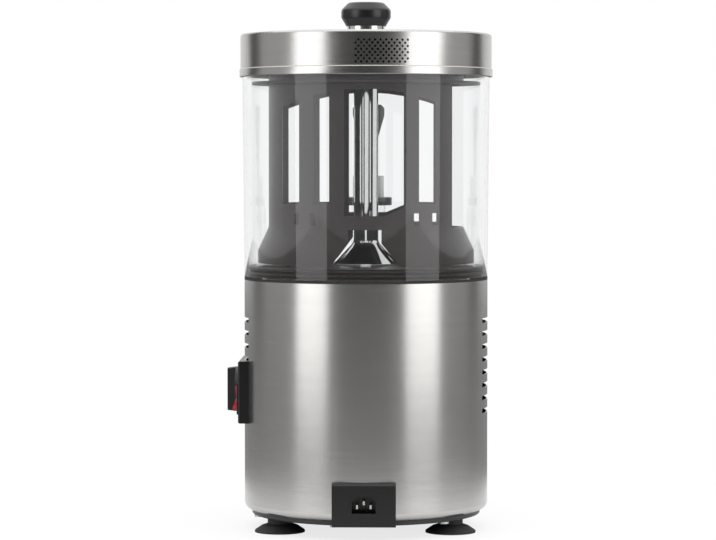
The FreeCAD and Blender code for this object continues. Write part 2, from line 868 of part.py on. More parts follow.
def build_drive():
    motor = joined(
        "motor_solid",
        rod("motor_can", motor_radius, motor_bottom_z, gearbox_bottom_z),
        rod("motor_cap", motor_radius * 0.4, motor_bottom_z - 5, motor_bottom_z),
    )
    part("motor", motor)
    case = block(
        "gearbox_case",
        (-gearbox_width / 2, gearbox_width / 2),
        (-gearbox_depth / 2, gearbox_depth / 2),
        (gearbox_bottom_z, bridge_z),
    )
    case = rounded("gearbox_round", case, gearbox_depth / 10, is_upright)
    boss = rod("gearbox_boss", shaft_radius * 2, bridge_z, bridge_z + 5)
    tools = [rod("gearbox_bore", shaft_radius + slip, gearbox_bottom_z + 8, coupling_low_z)]
    screws = []
    for number, (x, y) in enumerate(gearbox_screw_places()):
        low = bridge_z - 12
        tools.append(rod(f"gearbox_hole_{number}", screw_radius, low, bridge_z + 1, x, y))
        screws.append(screw(
            f"gearbox_screw_{number}", x, y, low, bridge_z + bridge_sheet, screw_radius, screw_head,
            screw_head_height))
    part("gearbox", cut("gearbox_cut", joined("gearbox_solid", case, boss), *tools))
    foot_z = base_z + base_plate
    outer = bridge_half + bridge_sheet
    bridge = slab(
        "bridge_body", "XZ_Plane", bridge_width,
        [
            (-outer - bridge_foot, foot_z),
            (-bridge_half, foot_z),
            (-bridge_half, bridge_z),
            (bridge_half, bridge_z),
            (bridge_half, foot_z),
            (outer + bridge_foot, foot_z),
            (outer + bridge_foot, foot_z + bridge_sheet),
            (outer, foot_z + bridge_sheet),
            (outer, bridge_z + bridge_sheet),
            (-outer, bridge_z + bridge_sheet),
            (-outer, foot_z + bridge_sheet),
            (-outer - bridge_foot, foot_z + bridge_sheet),
        ],
    )
    holes = [rod("bridge_shaft_hole", shaft_radius * 2 + slip, bridge_z - 1, bridge_z + 5)]
    for number, (x, y) in enumerate(gearbox_screw_places()):
        holes.append(rod(f"bridge_hole_{number}", screw_radius + slip, bridge_z - 1, bridge_z + 5, x, y))
    feet = []
    for number, (x, y) in enumerate(bridge_screw_places()):
        holes.append(rod(f"bridge_foot_hole_{number}", screw_radius + slip, foot_z - 1, foot_z + 5, x, y))
        feet.append(screw(
            f"bridge_screw_{number}", x, y, base_z, foot_z + bridge_sheet, screw_radius, screw_head,
            screw_head_height))
    part("motor_bracket", cut("motor_bracket_cut", bridge, *holes))
    part("motor_screws", group("motor_screws_group", *screws, *feet))
    split = shaft_bottom_z - shaft_split
    part("output_shaft", rod("output_shaft_rod", shaft_radius, gearbox_bottom_z + 8.5, split))
    coupling = ring("coupling_ring", coupling_radius, shaft_radius + slip, coupling_low_z, coupling_top_z)
    pins = []
    holes = []
    for name, z in (("low", coupling_low_z + 6), ("high", coupling_top_z - 6)):
        holes.append(rod_along_x(
            f"coupling_hole_{name}", spindle_radius, shaft_radius, coupling_radius + 1, 0, z))
        pins.append(rod_along_x(
            f"coupling_screw_{name}", spindle_radius - slip, shaft_radius + slip * 2, coupling_radius - 1,
            0, z))
    part("shaft_coupling", cut("shaft_coupling_cut", coupling, *holes))
    part("coupling_screws", group("coupling_screws_group", *pins))
    square_low = paddle_plate_z - 4
    shaft = joined(
        "drive_shaft_solid",
        rod("drive_shaft_rod", shaft_radius, shaft_bottom_z, square_low),
        block("drive_shaft_square", (-square_half, square_half), (-square_half, square_half),
              (square_low, paddle_top_z)),
        rod("drive_shaft_thread", thread_radius, paddle_top_z, shaft_top_z),
    )
    part("drive_shaft", shaft)


def is_upright(edge):
    ends = [vertex.Point for vertex in edge.Vertexes]
    return len(ends) == 2 and math.hypot(ends[0].x - ends[1].x, ends[0].y - ends[1].y) < 0.001


# Paddle

def arch(x):
    """The height of the windows' arched tops at a distance from the axis."""
    x = size_of(x)
    return arch_top_z - x * x / (2 * arch_radius)


def window(low_x, high_x, low_z):
    """An upright window under the arch."""
    middle = (size_of(low_x) + high_x) / 2
    tops = [(x, arch(x)) for x in (high_x, middle, low_x)]
    return [(low_x, low_z), (high_x, low_z), *tops]


def small_window(low_x, high_x):
    return [(low_x, small_low_z), (high_x, small_low_z), (high_x, small_top_z), (low_x, small_top_z)]


def build_paddle():
    scale = paddle_radius / 104
    inner = paddle_radius - paddle_wall
    skirt_inner = skirt_radius - paddle_wall
    low = floor_top_z + paddle_gap
    body = turned(
        "paddle_body",
        (0, hub_bottom_z),
        (hub_radius, hub_bottom_z),
        (hub_radius, paddle_plate_z),
        (inner, paddle_plate_z),
        (inner, skirt_top_z),
        (skirt_inner, skirt_knee_z),
        (skirt_inner, low),
        (skirt_radius, low),
        (skirt_radius, skirt_knee_z),
        (paddle_radius, skirt_top_z),
        (paddle_radius, flange_z),
        (flange_radius, flange_z),
        (flange_radius, flange_z + flange_height),
        (paddle_radius, flange_z + flange_height),
        (paddle_radius, paddle_top_z),
        (inner, paddle_top_z),
        (inner, paddle_plate_z + paddle_wall),
        (hub_radius, paddle_plate_z + paddle_wall),
        (hub_radius, paddle_top_z),
        (0, paddle_top_z),
    )
    pierced(
        body, "XZ_Plane", "paddle_windows",
        window(67.8 * scale, 86.1 * scale, window_low_z),
        window(36.2 * scale, 53.0 * scale, window_low_z),
        [
            (20.7 * scale, window_low_z - 11.6),
            (20.7 * scale, arch(20.7 * scale)),
            (8 * scale, arch(8 * scale)),
            (-8 * scale, arch(-8 * scale)),
            (-24 * scale, arch(-24 * scale)),
            (-40.4 * scale, arch(-40.4 * scale)),
            (-40.4 * scale, window_low_z - 3.4),
            (-20.5 * scale, window_low_z - 11.6),
        ],
        window(-73.1 * scale, -56.1 * scale, window_low_z),
        small_window(67.8 * scale, 73 * scale),
        small_window(50.9 * scale, 57.1 * scale),
        small_window(-57.1 * scale, -50.9 * scale),
        small_window(-76.3 * scale, -69.9 * scale),
        [
            (-17.6 * scale, skirt_top_z - 1),
            (-17.6 * scale, skirt_knee_z + 10.6),
            (-36.5 * scale, low - 1),
            (35 * scale, low - 1),
            (16.5 * scale, skirt_knee_z + 10.6),
            (16.5 * scale, skirt_top_z - 1),
        ],
    )
    trim = block(
        "paddle_trim_tool",
        (-paddle_radius - 1, -trim_x),
        (-paddle_radius, paddle_radius),
        (skirt_top_z, flange_z),
    )
    half = square_half + slip
    socket = block("paddle_socket_tool", (-half, half), (-half, half), (hub_bottom_z - 1, paddle_top_z + 1))
    mouth = rod("paddle_mouth_tool", shaft_radius + slip * 4, hub_bottom_z - 1, paddle_plate_z - 4 + slip)
    thing = cut("paddle_cut", body, trim, socket, mouth)
    part("paddle", thing)
    nut = ring("paddle_nut_ring", paddle_nut_radius, thread_radius + slip, paddle_top_z,
               paddle_top_z + paddle_nut_height)
    doc.recompute()
    part("paddle_nut", rounded("paddle_nut_round", nut, slip * 30, is_outer_ring))


def is_outer_ring(edge):
    return is_round_edge(edge) and edge.Curve.Radius > paddle_nut_radius.value - 0.01


# Clear bowl and tap

def build_bowl():
    low = gasket_top_z
    body = turned(
        "bowl_body",
        (bowl_bottom_radius - bowl_wall, low),
        (bowl_bottom_radius, low),
        (bowl_top_radius, bowl_top_z),
        (bowl_top_radius - bowl_wall, bowl_top_z),
    )
    soften(body, bowl_wall * 0.3, (bowl_top_radius, bowl_top_z), (bowl_top_radius - bowl_wall, bowl_top_z))
    housing = rod("tap_housing", tap_outer, tap_floor_z, tap_rim_z, 0, tap_y)
    spout = rod("tap_spout", spout_outer, spout_low_z, tap_floor_z, 0, tap_y)
    bridge = block(
        "tap_bridge",
        (-tap_outer * 0.6, tap_outer * 0.6),
        (tap_y, -bowl_bottom_radius + bowl_wall / 2),
        (low, ring_nut_low_z - 2),
    )
    port = rod_along_y("bowl_port", port_radius, tap_y, -bowl_bottom_radius + bowl_wall * 2, 0, port_z)
    part("bowl", cut("bowl_cut", body, port))
    outside = turned(
        "bowl_outside",
        (0, low),
        (bowl_bottom_radius, low),
        (bowl_top_radius, bowl_top_z),
        (0, bowl_top_z),
    )
    part("tap_body", cut(
        "tap_body_cut",
        joined("tap_body_solid", housing, spout, bridge),
        rod("tap_bore", tap_inner, tap_floor_z + tap_floor, tap_rim_z + 1, 0, tap_y),
        rod("spout_bore", spout_inner, spout_low_z - 1, tap_floor_z + tap_floor + 1, 0, tap_y),
        rod_along_y("tap_port", port_radius, tap_y, -bowl_bottom_radius + bowl_wall * 2, 0, port_z),
        outside,
    ))


def build_tap():
    flange_top = tap_rim_z + bonnet_flange
    bonnet = joined(
        "bonnet_solid",
        rod("bonnet_plate", tap_outer, tap_rim_z, flange_top, 0, tap_y),
        rod("bonnet_tower", bonnet_radius, tap_rim_z, bonnet_top_z, 0, tap_y),
    )
    slot = lever_half + 8 * slip
    pin_y = tap_y - lever_pin_offset
    pin_reach = root(bonnet_radius * bonnet_radius - lever_pin_offset * lever_pin_offset) - slip * 10
    tools = [
        rod("bonnet_cavity", bonnet_bore, tap_rim_z - 1, bonnet_ceiling_z, 0, tap_y),
        rod("bonnet_guide", stem_radius + slip, bonnet_ceiling_z - 1, bonnet_slot_z + 1, 0, tap_y),
        rod("bonnet_well", stem_radius + 12 * slip, bonnet_slot_z, bonnet_top_z + 1, 0, tap_y),
        block("bonnet_slot", (-slot, slot), (tap_y - tap_outer, tap_y), (bonnet_slot_z, bonnet_top_z + 1)),
        block("bonnet_finger_slot", (-slot, slot), (tap_y, tap_y + 8), (bonnet_slot_z, bonnet_top_z + 1)),
        rod_along_x(
            "bonnet_pin_hole", lever_pin_radius + slip / 5, -tap_outer, tap_outer, pin_y, lever_pin_z),
    ]
    part("tap_bonnet", cut("bonnet_cut", bonnet, *tools))
    pin = rod_along_x("lever_pin_rod", lever_pin_radius, -pin_reach, pin_reach, pin_y, lever_pin_z)
    part_moved("lever_pin", pin)
    nut = rod("ring_nut_disc", ring_nut_radius, ring_nut_low_z, ring_nut_top_z, 0, tap_y)
    nut_round = rounded("ring_nut_round", nut, slip * 20, is_round_edge)
    part("tap_ring_nut", cut(
        "ring_nut_cut", nut_round,
        rod("ring_nut_well", tap_outer + slip, ring_nut_low_z - 1, flange_top, 0, tap_y),
        rod("ring_nut_bore", bonnet_radius + slip, flange_top - 1, ring_nut_top_z + 1, 0, tap_y),
    ))
    build_piston()
    build_lever(pin_y)


def is_round_edge(edge):
    return isinstance(edge.Curve, Part.Circle) and edge.Closed


def build_piston():
    disc_top = disc_low_z + disc_height
    cup_low = tap_floor_z + tap_floor
    cup_top = cup_low + cup_height
    stem = rod("piston_stem", stem_radius, cup_low + 2, bonnet_top_z, 0, tap_y)
    disc = rod("piston_disc", tap_inner - slip, disc_low_z, disc_top, 0, tap_y)
    middle = disc_low_z + disc_height / 2
    groove_inner = tap_inner - soft_gap - 2 * ring_thick - slip
    groove = ring(
        "piston_groove", tap_inner + 1, groove_inner, middle - groove_width / 2, middle + groove_width / 2,
        0, tap_y)
    slot = finger_half + 5 * slip
    stem_slot = block(
        "stem_slot", (-slot, slot), (tap_y - stem_radius - 1, tap_y + stem_radius + 1),
        (stem_slot_z, bonnet_top_z + 1))
    pin_hole = rod_along_x(
        "stem_pin_hole", piston_pin_radius + slip / 5, -stem_radius - 1, stem_radius + 1, tap_y, lever_pin_z)
    part("tap_piston", cut("piston_cut", joined("piston_solid", stem, disc), groove, stem_slot, pin_hole))
    part_moved("piston_pin", rod_along_x(
        "piston_pin_rod", piston_pin_radius, -stem_radius + slip * 6, stem_radius - slip * 6,
        tap_y, lever_pin_z))
    cup = ring("cup_ring", cup_radius, stem_radius + slip, cup_low, cup_top, 0, tap_y)
    cup_cap = rod("cup_cap", cup_radius, cup_low, cup_low + 2 - slip, 0, tap_y)
    part("tap_cup_seal", joined("tap_cup_seal_solid", cup, cup_cap))
    o_ring = doc.addObject("Part::Torus", "o_ring_torus")
    bind(o_ring, Radius1=tap_inner - soft_gap - ring_thick, Radius2=ring_thick)
    seat(o_ring, 0, tap_y, middle)
    part_moved("piston_o_ring", o_ring)
    build_spring(disc_top)


def build_spring(low_z):
    """A coil of half turns, each a half circle tilted by the pitch, so that they meet smoothly."""
    low = (low_z + spring_wire + slip).value
    high = (bonnet_ceiling_z - spring_wire - slip).value
    radius = spring_radius.value
    halves = 2 * spring_turns
    rise = (high - low) / halves
    edges = []
    for number in range(halves):
        side = 1 if number % 2 == 0 else -1
        start = Vector(side * radius, tap_y.value, low + number * rise)
        end = Vector(-side * radius, tap_y.value, low + (number + 1) * rise)
        bulge = math.hypot(radius, rise / 2)
        middle = Vector(0, tap_y.value + side * bulge, low + (number + 0.5) * rise)
        edges.append(Part.Arc(start, middle, end).toShape())
    path = Part.Wire(edges)
    start = Vector(radius, tap_y.value, low)
    section = Part.Wire([Part.makeCircle(spring_wire.value, start, Vector(0, 1, 0))])
    spring = doc.addObject("Part::Feature", "tap_spring_coil")
    spring.Shape = path.makePipeShell([section], True, False)
    print(f"spring: least gap between turns {2 * rise - 2 * spring_wire.value:.2f}")
    part("tap_spring", spring)


def build_lever(pin_y):
    barrel = rod_along_x("lever_barrel", lever_thick * 0.65, -lever_half, lever_half, pin_y, lever_pin_z)
    blade = block(
        "lever_blade", (-lever_half, lever_half), (pin_y - lever_thick / 2, pin_y + lever_thick / 2),
        (lever_pin_z, neck_low_z + 4))
    finger = block(
        "lever_finger", (-finger_half, finger_half), (pin_y, tap_y + 6), (lever_pin_z - 4, lever_pin_z + 4))
    neck = block(
        "lever_neck", (-neck_width / 2, neck_width / 2), (pin_y - lever_thick / 2, pin_y + lever_thick / 2),
        (neck_low_z, grip_low_z))
    neck = rounded("lever_neck_round", neck, lever_thick / 3, is_upright)
    grip = slab(
        "lever_grip_body", "XZ_Plane", lever_thick,
        [
            (-neck_width / 2, grip_low_z - 4),
            (neck_width / 2, grip_low_z - 4),
            (grip_width / 2, lever_top_z - grip_width / 3),
            (grip_width / 2, lever_top_z - 4),
            (grip_width / 2 - 4, lever_top_z),
            (-grip_width / 2 + 4, lever_top_z),
            (-grip_width / 2, lever_top_z - 4),
            (-grip_width / 2, lever_top_z - grip_width / 3),
        ],
    )
    seat(grip, 0, pin_y, 0)
    solid = joined("lever_solid", barrel, blade, finger, neck, grip)
    slot_half = piston_pin_radius + 0.6
    tools = [
        rod_along_x(
            "lever_pin_bore", lever_pin_radius + slip, -lever_half - 1, lever_half + 1, pin_y, lever_pin_z),
        block("lever_finger_slot", (-finger_half - 1, finger_half + 1), (tap_y - 5, tap_y + 7),
              (lever_pin_z - slot_half, lever_pin_z + slot_half)),
    ]
    part("tap_lever", cut("lever_cut", solid, *tools))


# Lid

def build_lid():
    outer = lid_radius
    inner = outer - lid_sheet
    bead = outer + lid_bead
    bead_top = lid_bottom_z + lid_bead_height
    ledge_inner = bowl_top_radius - lid_ledge
    hole = screw_radius + slip
    body = turned(
        "lid_shell_body",
        (hole, lid_top_z),
        (outer, lid_top_z),
        (outer, bead_top + lid_bead),
        (bead, bead_top),
        (bead, lid_bottom_z),
        (inner, lid_bottom_z),
        (inner, bowl_top_z),
        (ledge_inner, bowl_top_z),
        (ledge_inner, bowl_top_z + lid_sheet),
        (inner, bowl_top_z + lid_sheet),
        (inner, lid_top_z - lid_sheet),
        (hole, lid_top_z - lid_sheet),
    )
    soften(body, lid_corner, (outer, lid_top_z))
    soften(body, lid_bead * 0.8, (bead, lid_bottom_z))
    tools = []
    turn = math.degrees(vent_hole_pitch.value / lid_radius.value)
    for row in range(vent_hole_rows):
        for column in range(vent_hole_columns):
            offset = column - (vent_hole_columns - 1) / 2 + (row % 2) * 0.5 - 0.25
            tool = doc.addObject("Part::Cylinder", f"vent_hole_{row}_{column}")
            angle = vent_field_angle.value + offset * turn
            bind(tool, Radius=vent_hole_radius, Height=size_of(10))
            x, y = polar(lid_radius - 5, angle)
            seat(tool, x, y, vent_hole_low_z + row * vent_hole_rise,
                 Rotation(Vector(0, 0, 1), angle) * ALONG_X)
            tools.append(tool)
    part("lid_shell", cut("lid_cut", body, *tools))
    collar = ring("lid_collar_ring", collar_radius, hole, lid_top_z, lid_top_z + collar_height)
    part("lid_collar", collar)
    low = lid_top_z + collar_height
    knob = turned(
        "lid_knob_body",
        (screw_radius, low),
        (knob_foot_radius, low),
        (knob_radius, overall_height - knob_corner - knob_band),
        (knob_radius, overall_height - knob_corner),
        (knob_radius - knob_corner, overall_height),
        (0, overall_height),
        (0, low + 12),
        (screw_radius, low + 12),
    )
    soften(knob, knob_corner * 0.7, (knob_radius, overall_height - knob_corner),
           (knob_radius - knob_corner, overall_height))
    soften(knob, slip * 20, (knob_foot_radius, low))
    part("lid_knob", knob)
    under = lid_top_z - lid_sheet
    part("lid_screw", screw(
        "lid_screw_solid", 0, 0, under, low + 12, screw_radius, screw_head * 1.6, screw_head_height, False))


# Controls

def stat_screw_places():
    return [knob_y - stat_width * 0.35, knob_y + stat_width * 0.35]


def build_controls():
    plate = block(
        "panel_block", (panel_x - panel_depth, panel_x), (panel_low_y, panel_low_y + panel_width),
        (panel_low_z, panel_low_z + panel_height))
    plate = rounded("panel_round", plate, slip * 40, is_panel_edge)
    half = rocker_width / 2 + rocker_frame + slip
    rocker_half = rocker_opening / 2 + rocker_frame + slip
    tools = [
        rod("panel_back", shell_radius + slip, panel_low_z - 1, panel_low_z + panel_height + 1),
        rod_along_x("panel_spindle_hole", spindle_radius * 1.5, stat_face_x, panel_x + 1, knob_y, knob_z),
        block("panel_rocker_hole", (stat_face_x - 20, panel_x + 1), (rocker_y - half, rocker_y + half),
              (rocker_z - rocker_half, rocker_z + rocker_half)),
    ]
    screws = []
    for number, y in enumerate(stat_screw_places()):
        tools.append(rod_along_x(
            f"panel_screw_hole_{number}", screw_radius + slip, stat_face_x, panel_x + 1, y, knob_z))
        screws.append(joined(
            f"panel_screw_{number}",
            rod_along_x(f"panel_shank_{number}", screw_radius, stat_face_x - 6, panel_x, y, knob_z),
            rod_along_x(f"panel_head_{number}", screw_head, panel_x, panel_x + 2, y, knob_z),
        ))
    part("control_bezel", cut("control_bezel_cut", plate, *tools))
    part("bezel_screws", group("bezel_screws_group", *screws))
    case = block(
        "stat_case",
        (stat_face_x - stat_depth, stat_face_x),
        (knob_y - stat_width / 2, knob_y + stat_width / 2),
        (knob_z - stat_height / 2, knob_z + stat_height / 2))
    holes = [rod_along_x(
        "stat_bore", spindle_radius + slip, stat_face_x - 10, stat_face_x + 1, knob_y, knob_z)]
    for number, y in enumerate(stat_screw_places()):
        holes.append(rod_along_x(
            f"stat_hole_{number}", screw_radius + slip, stat_face_x - 7, stat_face_x + 1, y, knob_z))
    part("thermostat", cut("thermostat_cut", case, *holes))
    build_dial()
    build_rocker(half, rocker_half)
    build_bulb()


def is_panel_edge(edge):
    return all(abs(vertex.Point.x - panel_x.value) < 0.01 for vertex in edge.Vertexes)


def is_rim_edge(edge):
    return all(abs(vertex.Point.x - panel_x.value - rocker_lip.value) < 0.01 for vertex in edge.Vertexes)


def build_dial():
    low = panel_x + dial_gap
    spindle_top = dial_reach_x - 4
    spindle = rod_along_x("spindle_rod", spindle_radius, stat_face_x - 9.5, spindle_top, knob_y, knob_z)
    part_moved("thermostat_spindle", spindle)
    skirt = rod_along_x("dial_skirt_disc", dial_radius, low, low + dial_skirt, knob_y, knob_z)
    grip = doc.addObject("Part::Cone", "dial_grip")
    bind(grip, Radius1=dial_radius, Radius2=dial_grip_radius, Height=dial_reach_x - low - dial_skirt)
    seat(grip, low + dial_skirt, knob_y, knob_z, ALONG_X)
    hollow = rod_along_x("dial_hollow", dial_radius - 3, low - 1, low + dial_skirt, knob_y, knob_z)
    boss = rod_along_x("dial_boss", spindle_radius * 2, low, dial_reach_x - 2, knob_y, knob_z)
    bore = rod_along_x("dial_bore", spindle_radius + slip / 5, low - 1, spindle_top, knob_y, knob_z)
    scoops = []
    for side in (-1, 1):
        scoop = block(
            f"dial_scoop_{side + 1}",
            (low + dial_skirt + 1, dial_reach_x + 1),
            (knob_y + side * 18 - 12, knob_y + side * 18 + 12),
            (knob_z - dial_radius - 1, knob_z + dial_radius + 1),
        )
        scoops.append(scoop)
    shaped = cut("dial_shaped", joined("dial_solid", skirt, grip), *scoops)
    hollowed = cut("dial_hollowed", shaped, hollow)
    part("thermostat_knob", cut("dial_cut", joined("dial_with_boss", hollowed, boss), bore))


def build_rocker(half, rocker_half):
    frame = block(
        "rocker_case", (rocker_back_x, panel_x), (rocker_y - half + slip, rocker_y + half - slip),
        (rocker_z - rocker_half + slip, rocker_z + rocker_half - slip))
    lip = block(
        "rocker_rim", (panel_x, panel_x + rocker_lip), (rocker_y - half - 1, rocker_y + half + 1),
        (rocker_z - rocker_half - 1, rocker_z + rocker_half + 1))
    lip = rounded("rocker_rim_round", lip, slip * 15, is_rim_edge)
    wide = rocker_width / 2 + loose_gap / 2
    well = block(
        "rocker_well", (rocker_back_x + 5, panel_x + rocker_lip + 1), (rocker_y - wide, rocker_y + wide),
        (rocker_z - rocker_opening / 2, rocker_z + rocker_opening / 2))
    body = cut("rocker_body", joined("rocker_frame_solid", frame, lip), well)
    stubs = []
    for side in (-1, 1):
        ends = sorted((side * (rocker_width.value / 2 - 1.5), side * (rocker_width.value / 2 + 1)))
        stubs.append(rod_along_y(
            f"rocker_stub_{side + 1}", 1.5, rocker_y + ends[0], rocker_y + ends[1], rocker_pivot_x, rocker_z))
    tabs = []
    for number, z in enumerate((-8, 0, 8)):
        tabs.append(block(
            f"rocker_tab_{number}", (rocker_back_x - 8, rocker_back_x), (rocker_y - 3, rocker_y + 3),
            (rocker_z + z - 0.4, rocker_z + z + 0.4)))
    part("rocker_housing", joined("rocker_housing_solid", body, *stubs, *tabs))
    x = rocker_pivot_x
    z = rocker_z
    button = slab(
        "rocker_button_body", "XZ_Plane", rocker_width,
        [
            (x + 10.5, z - 11),
            (x + 6.2, z + 1),
            (x + 7.5, z + 13.2),
            (x + 2, z + 12.6),
            (x - 4, z + 8),
            (x - 4, z - 8),
            (x + 2, z - 12.6),
        ],
    )
    seat(button, 0, rocker_y, 0)
    holes = []
    for side in (-1, 1):
        ends = sorted((side * (rocker_width.value / 2 - 1.7), side * (rocker_width.value / 2 + 1)))
        holes.append(rod_along_y(
            f"rocker_hole_{side + 1}", 1.5 + slip, rocker_y + ends[0], rocker_y + ends[1], x, z))
    part("rocker_button", cut("rocker_button_cut", button, *holes))


def build_bulb():
    """The sensing bulb under the heat spreader, and its capillary down to the thermostat."""
    z = (spreader_low_z - bulb_radius - slip).value
    y = bulb_y.value
    start = -bulb_length.value * 0.6
    end = start + bulb_length.value
    bulb = Part.makeCylinder(bulb_radius.value, bulb_length.value, Vector(start, y, z), Vector(1, 0, 0))
    case_top = knob_z.value + stat_height.value / 2
    stat_x = (stat_face_x - stat_depth / 2).value
    route = [
        Vector(end, y, z),
        Vector(end + 9, y, z),
        Vector(end + 11, y, z - 40),
        Vector(60, y, z - 72),
        Vector(stat_x, knob_y.value, case_top + 22),
        Vector(stat_x, knob_y.value, case_top),
    ]
    tube = bent_tube(route, 1.0)
    capillary = doc.addObject("Part::Feature", "capillary")
    capillary.Shape = bulb.fuse(tube)
    part("thermostat_bulb", capillary)


def bent_tube(route, radius):
    """A tube along straight runs with a tangent arc at each inner point."""
    edges = []
    last = route[0]
    length = 0
    for before, corner, after in zip(route, route[1:], route[2:]):
        first = (before - corner).normalize()
        second = (after - corner).normalize()
        half_turn = (math.pi - first.getAngle(second)) / 2
        trim = 0.45 * min((before - corner).Length, (after - corner).Length)
        bend = trim / math.tan(half_turn)
        print(f"capillary: bend radius {bend:.1f}")
        entry = corner + first * trim
        leave = corner + second * trim
        towards = (first + second).normalize()
        middle = corner + towards * (bend / math.cos(half_turn) - bend)
        edges.append(Part.LineSegment(last, entry).toShape())
        edges.append(Part.Arc(entry, middle, leave).toShape())
        length += (entry - last).Length + 2 * half_turn * bend
        last = leave
    edges.append(Part.LineSegment(last, route[-1]).toShape())
    length += (route[-1] - last).Length
    section = Part.Wire([Part.makeCircle(radius, route[0], route[1] - route[0])])
    tube = Part.Wire(edges).makePipeShell([section], True, False)
    expected = math.pi * radius * radius * length
    print(f"capillary: volume {tube.Volume:.1f} of {expected:.1f}")
    return tube


# Mains inlet

def inlet_screw_places():
    reach = inlet_width * 0.38
    return [-reach, reach]


def socket_outline(width, height, corner, lift=0):
    """The inlet's outline, with its two upper corners cut."""
    w = width / 2
    low = socket_z - height / 2 + lift
    top = socket_z + height / 2 + lift
    return [(-w, low), (w, low), (w, top - corner), (w - corner, top), (corner - w, top), (-w, top - corner)]


def build_inlet():
    box = block(
        "inlet_block", (-inlet_width / 2, inlet_width / 2), (shell_radius * 0.9, inlet_face_y),
        (inlet_low_z, inlet_top_z))
    doc.recompute()
    bevelled = doc.addObject("Part::Chamfer", "inlet_bevelled")
    bevelled.Base = box
    edges = [number for number, edge in enumerate(box.Shape.Edges, 1) if is_inlet_top(edge)]
    bevelled.Edges = [(number, inlet_bevel.value, inlet_bevel.value) for number in edges]
    wide = socket_width / 2 + socket_wall + slip
    tall = socket_height / 2 + socket_wall + slip
    tools = [
        rod("inlet_back", shell_radius + slip, 0, inlet_top_z + 1),
        block(
            "inlet_window",
            (-wide, wide),
            (shell_radius * 0.8, inlet_face_y + 1),
            (socket_z - tall, socket_z + tall),
        ),
    ]
    screws = []
    for number, x in enumerate(inlet_screw_places()):
        reach = shell_radius * 0.93
        tools.append(rod_along_y(
            f"inlet_screw_hole_{number}", screw_radius + slip, reach - 5, inlet_face_y - 1, x, socket_z))
        screws.append(joined(
            f"inlet_screw_{number}",
            rod_along_y(f"inlet_shank_{number}", screw_radius, reach - 6, inlet_face_y - 2, x, socket_z),
            rod_along_y(f"inlet_head_{number}", screw_head, reach - 9, reach - 6, x, socket_z),
        ))
    part("inlet_box", cut("inlet_box_cut", bevelled, *tools))
    shell_screws.extend(screws)
    back = inlet_face_y - socket_depth - socket_back
    body = block(
        "socket_block",
        (-wide + slip, wide - slip),
        (back, inlet_face_y),
        (socket_z - tall + slip, socket_z + tall - slip),
    )
    well = slab(
        "socket_well", "XZ_Plane", socket_depth * 2,
        socket_outline(socket_width, socket_height, socket_corner))
    seat(well, 0, inlet_face_y, 0)
    blades = []
    slots = []
    places = ((-blade_spacing / 2, -blade_drop), (blade_spacing / 2, -blade_drop), (0, blade_drop))
    for number, (x, z) in enumerate(places):
        thick = blade_sheet / 2
        tall_half = blade_width / 2
        x = size_of(x)
        z = socket_z + z
        blades.append(block(
            f"blade_{number}", (x - thick, x + thick), (back - 8, inlet_face_y - blade_inset),
            (z - tall_half, z + tall_half)))
        slots.append(block(
            f"blade_slot_{number}", (x - thick - slip / 5, x + thick + slip / 5), (back - 1, inlet_face_y),
            (z - tall_half - slip / 5, z + tall_half + slip / 5)))
    part("inlet_socket", cut("inlet_socket_cut", body, well, *slots))
    part("inlet_pins", group("inlet_pins_group", *blades))


def is_inlet_top(edge):
    on_face = all(abs(vertex.Point.y - inlet_face_y.value) < 0.01 for vertex in edge.Vertexes)
    return on_face and all(abs(vertex.Point.z - inlet_top_z.value) < 0.01 for vertex in edge.Vertexes)


def build_terminals():
    low = base_z + base_plate
    case = block("terminal_case", (-24, 24), (64, 84), (low, low + 18))
    wells = []
    for number in range(3):
        x = (number - 1) * 15
        wells.append(rod(f"terminal_well_{number}", 3.5, low + 8, low + 19, x, 70))
        wells.append(rod(f"terminal_well_back_{number}", 3.5, low + 8, low + 19, x, 78))
    part("terminal_block", cut("terminal_block_cut", case, *wells))


# Drip tray

def hanger_screw_places():
    z = hanger_top_z - 8
    return [(-25, z), (25, z)]


def tray_shape(name, half, reach, corner, back, low, high):
    """A flat-sided tray outline with round front corners and a back that follows the shell."""
    box = block(f"{name}_box", (-half, half), (-reach, -tray_back * 0.5), (low, high))
    doc.recompute()
    front = rounded(f"{name}_front", box, corner, lambda edge: is_upright(edge) and is_front(edge, reach))
    hollow = rod(f"{name}_back", back, size_of(low) - 1, size_of(high) + 1)
    return cut(f"{name}_outline", front, hollow)


def is_front(edge, reach):
    return all(vertex.Point.y < -reach.value + 1 for vertex in edge.Vertexes)


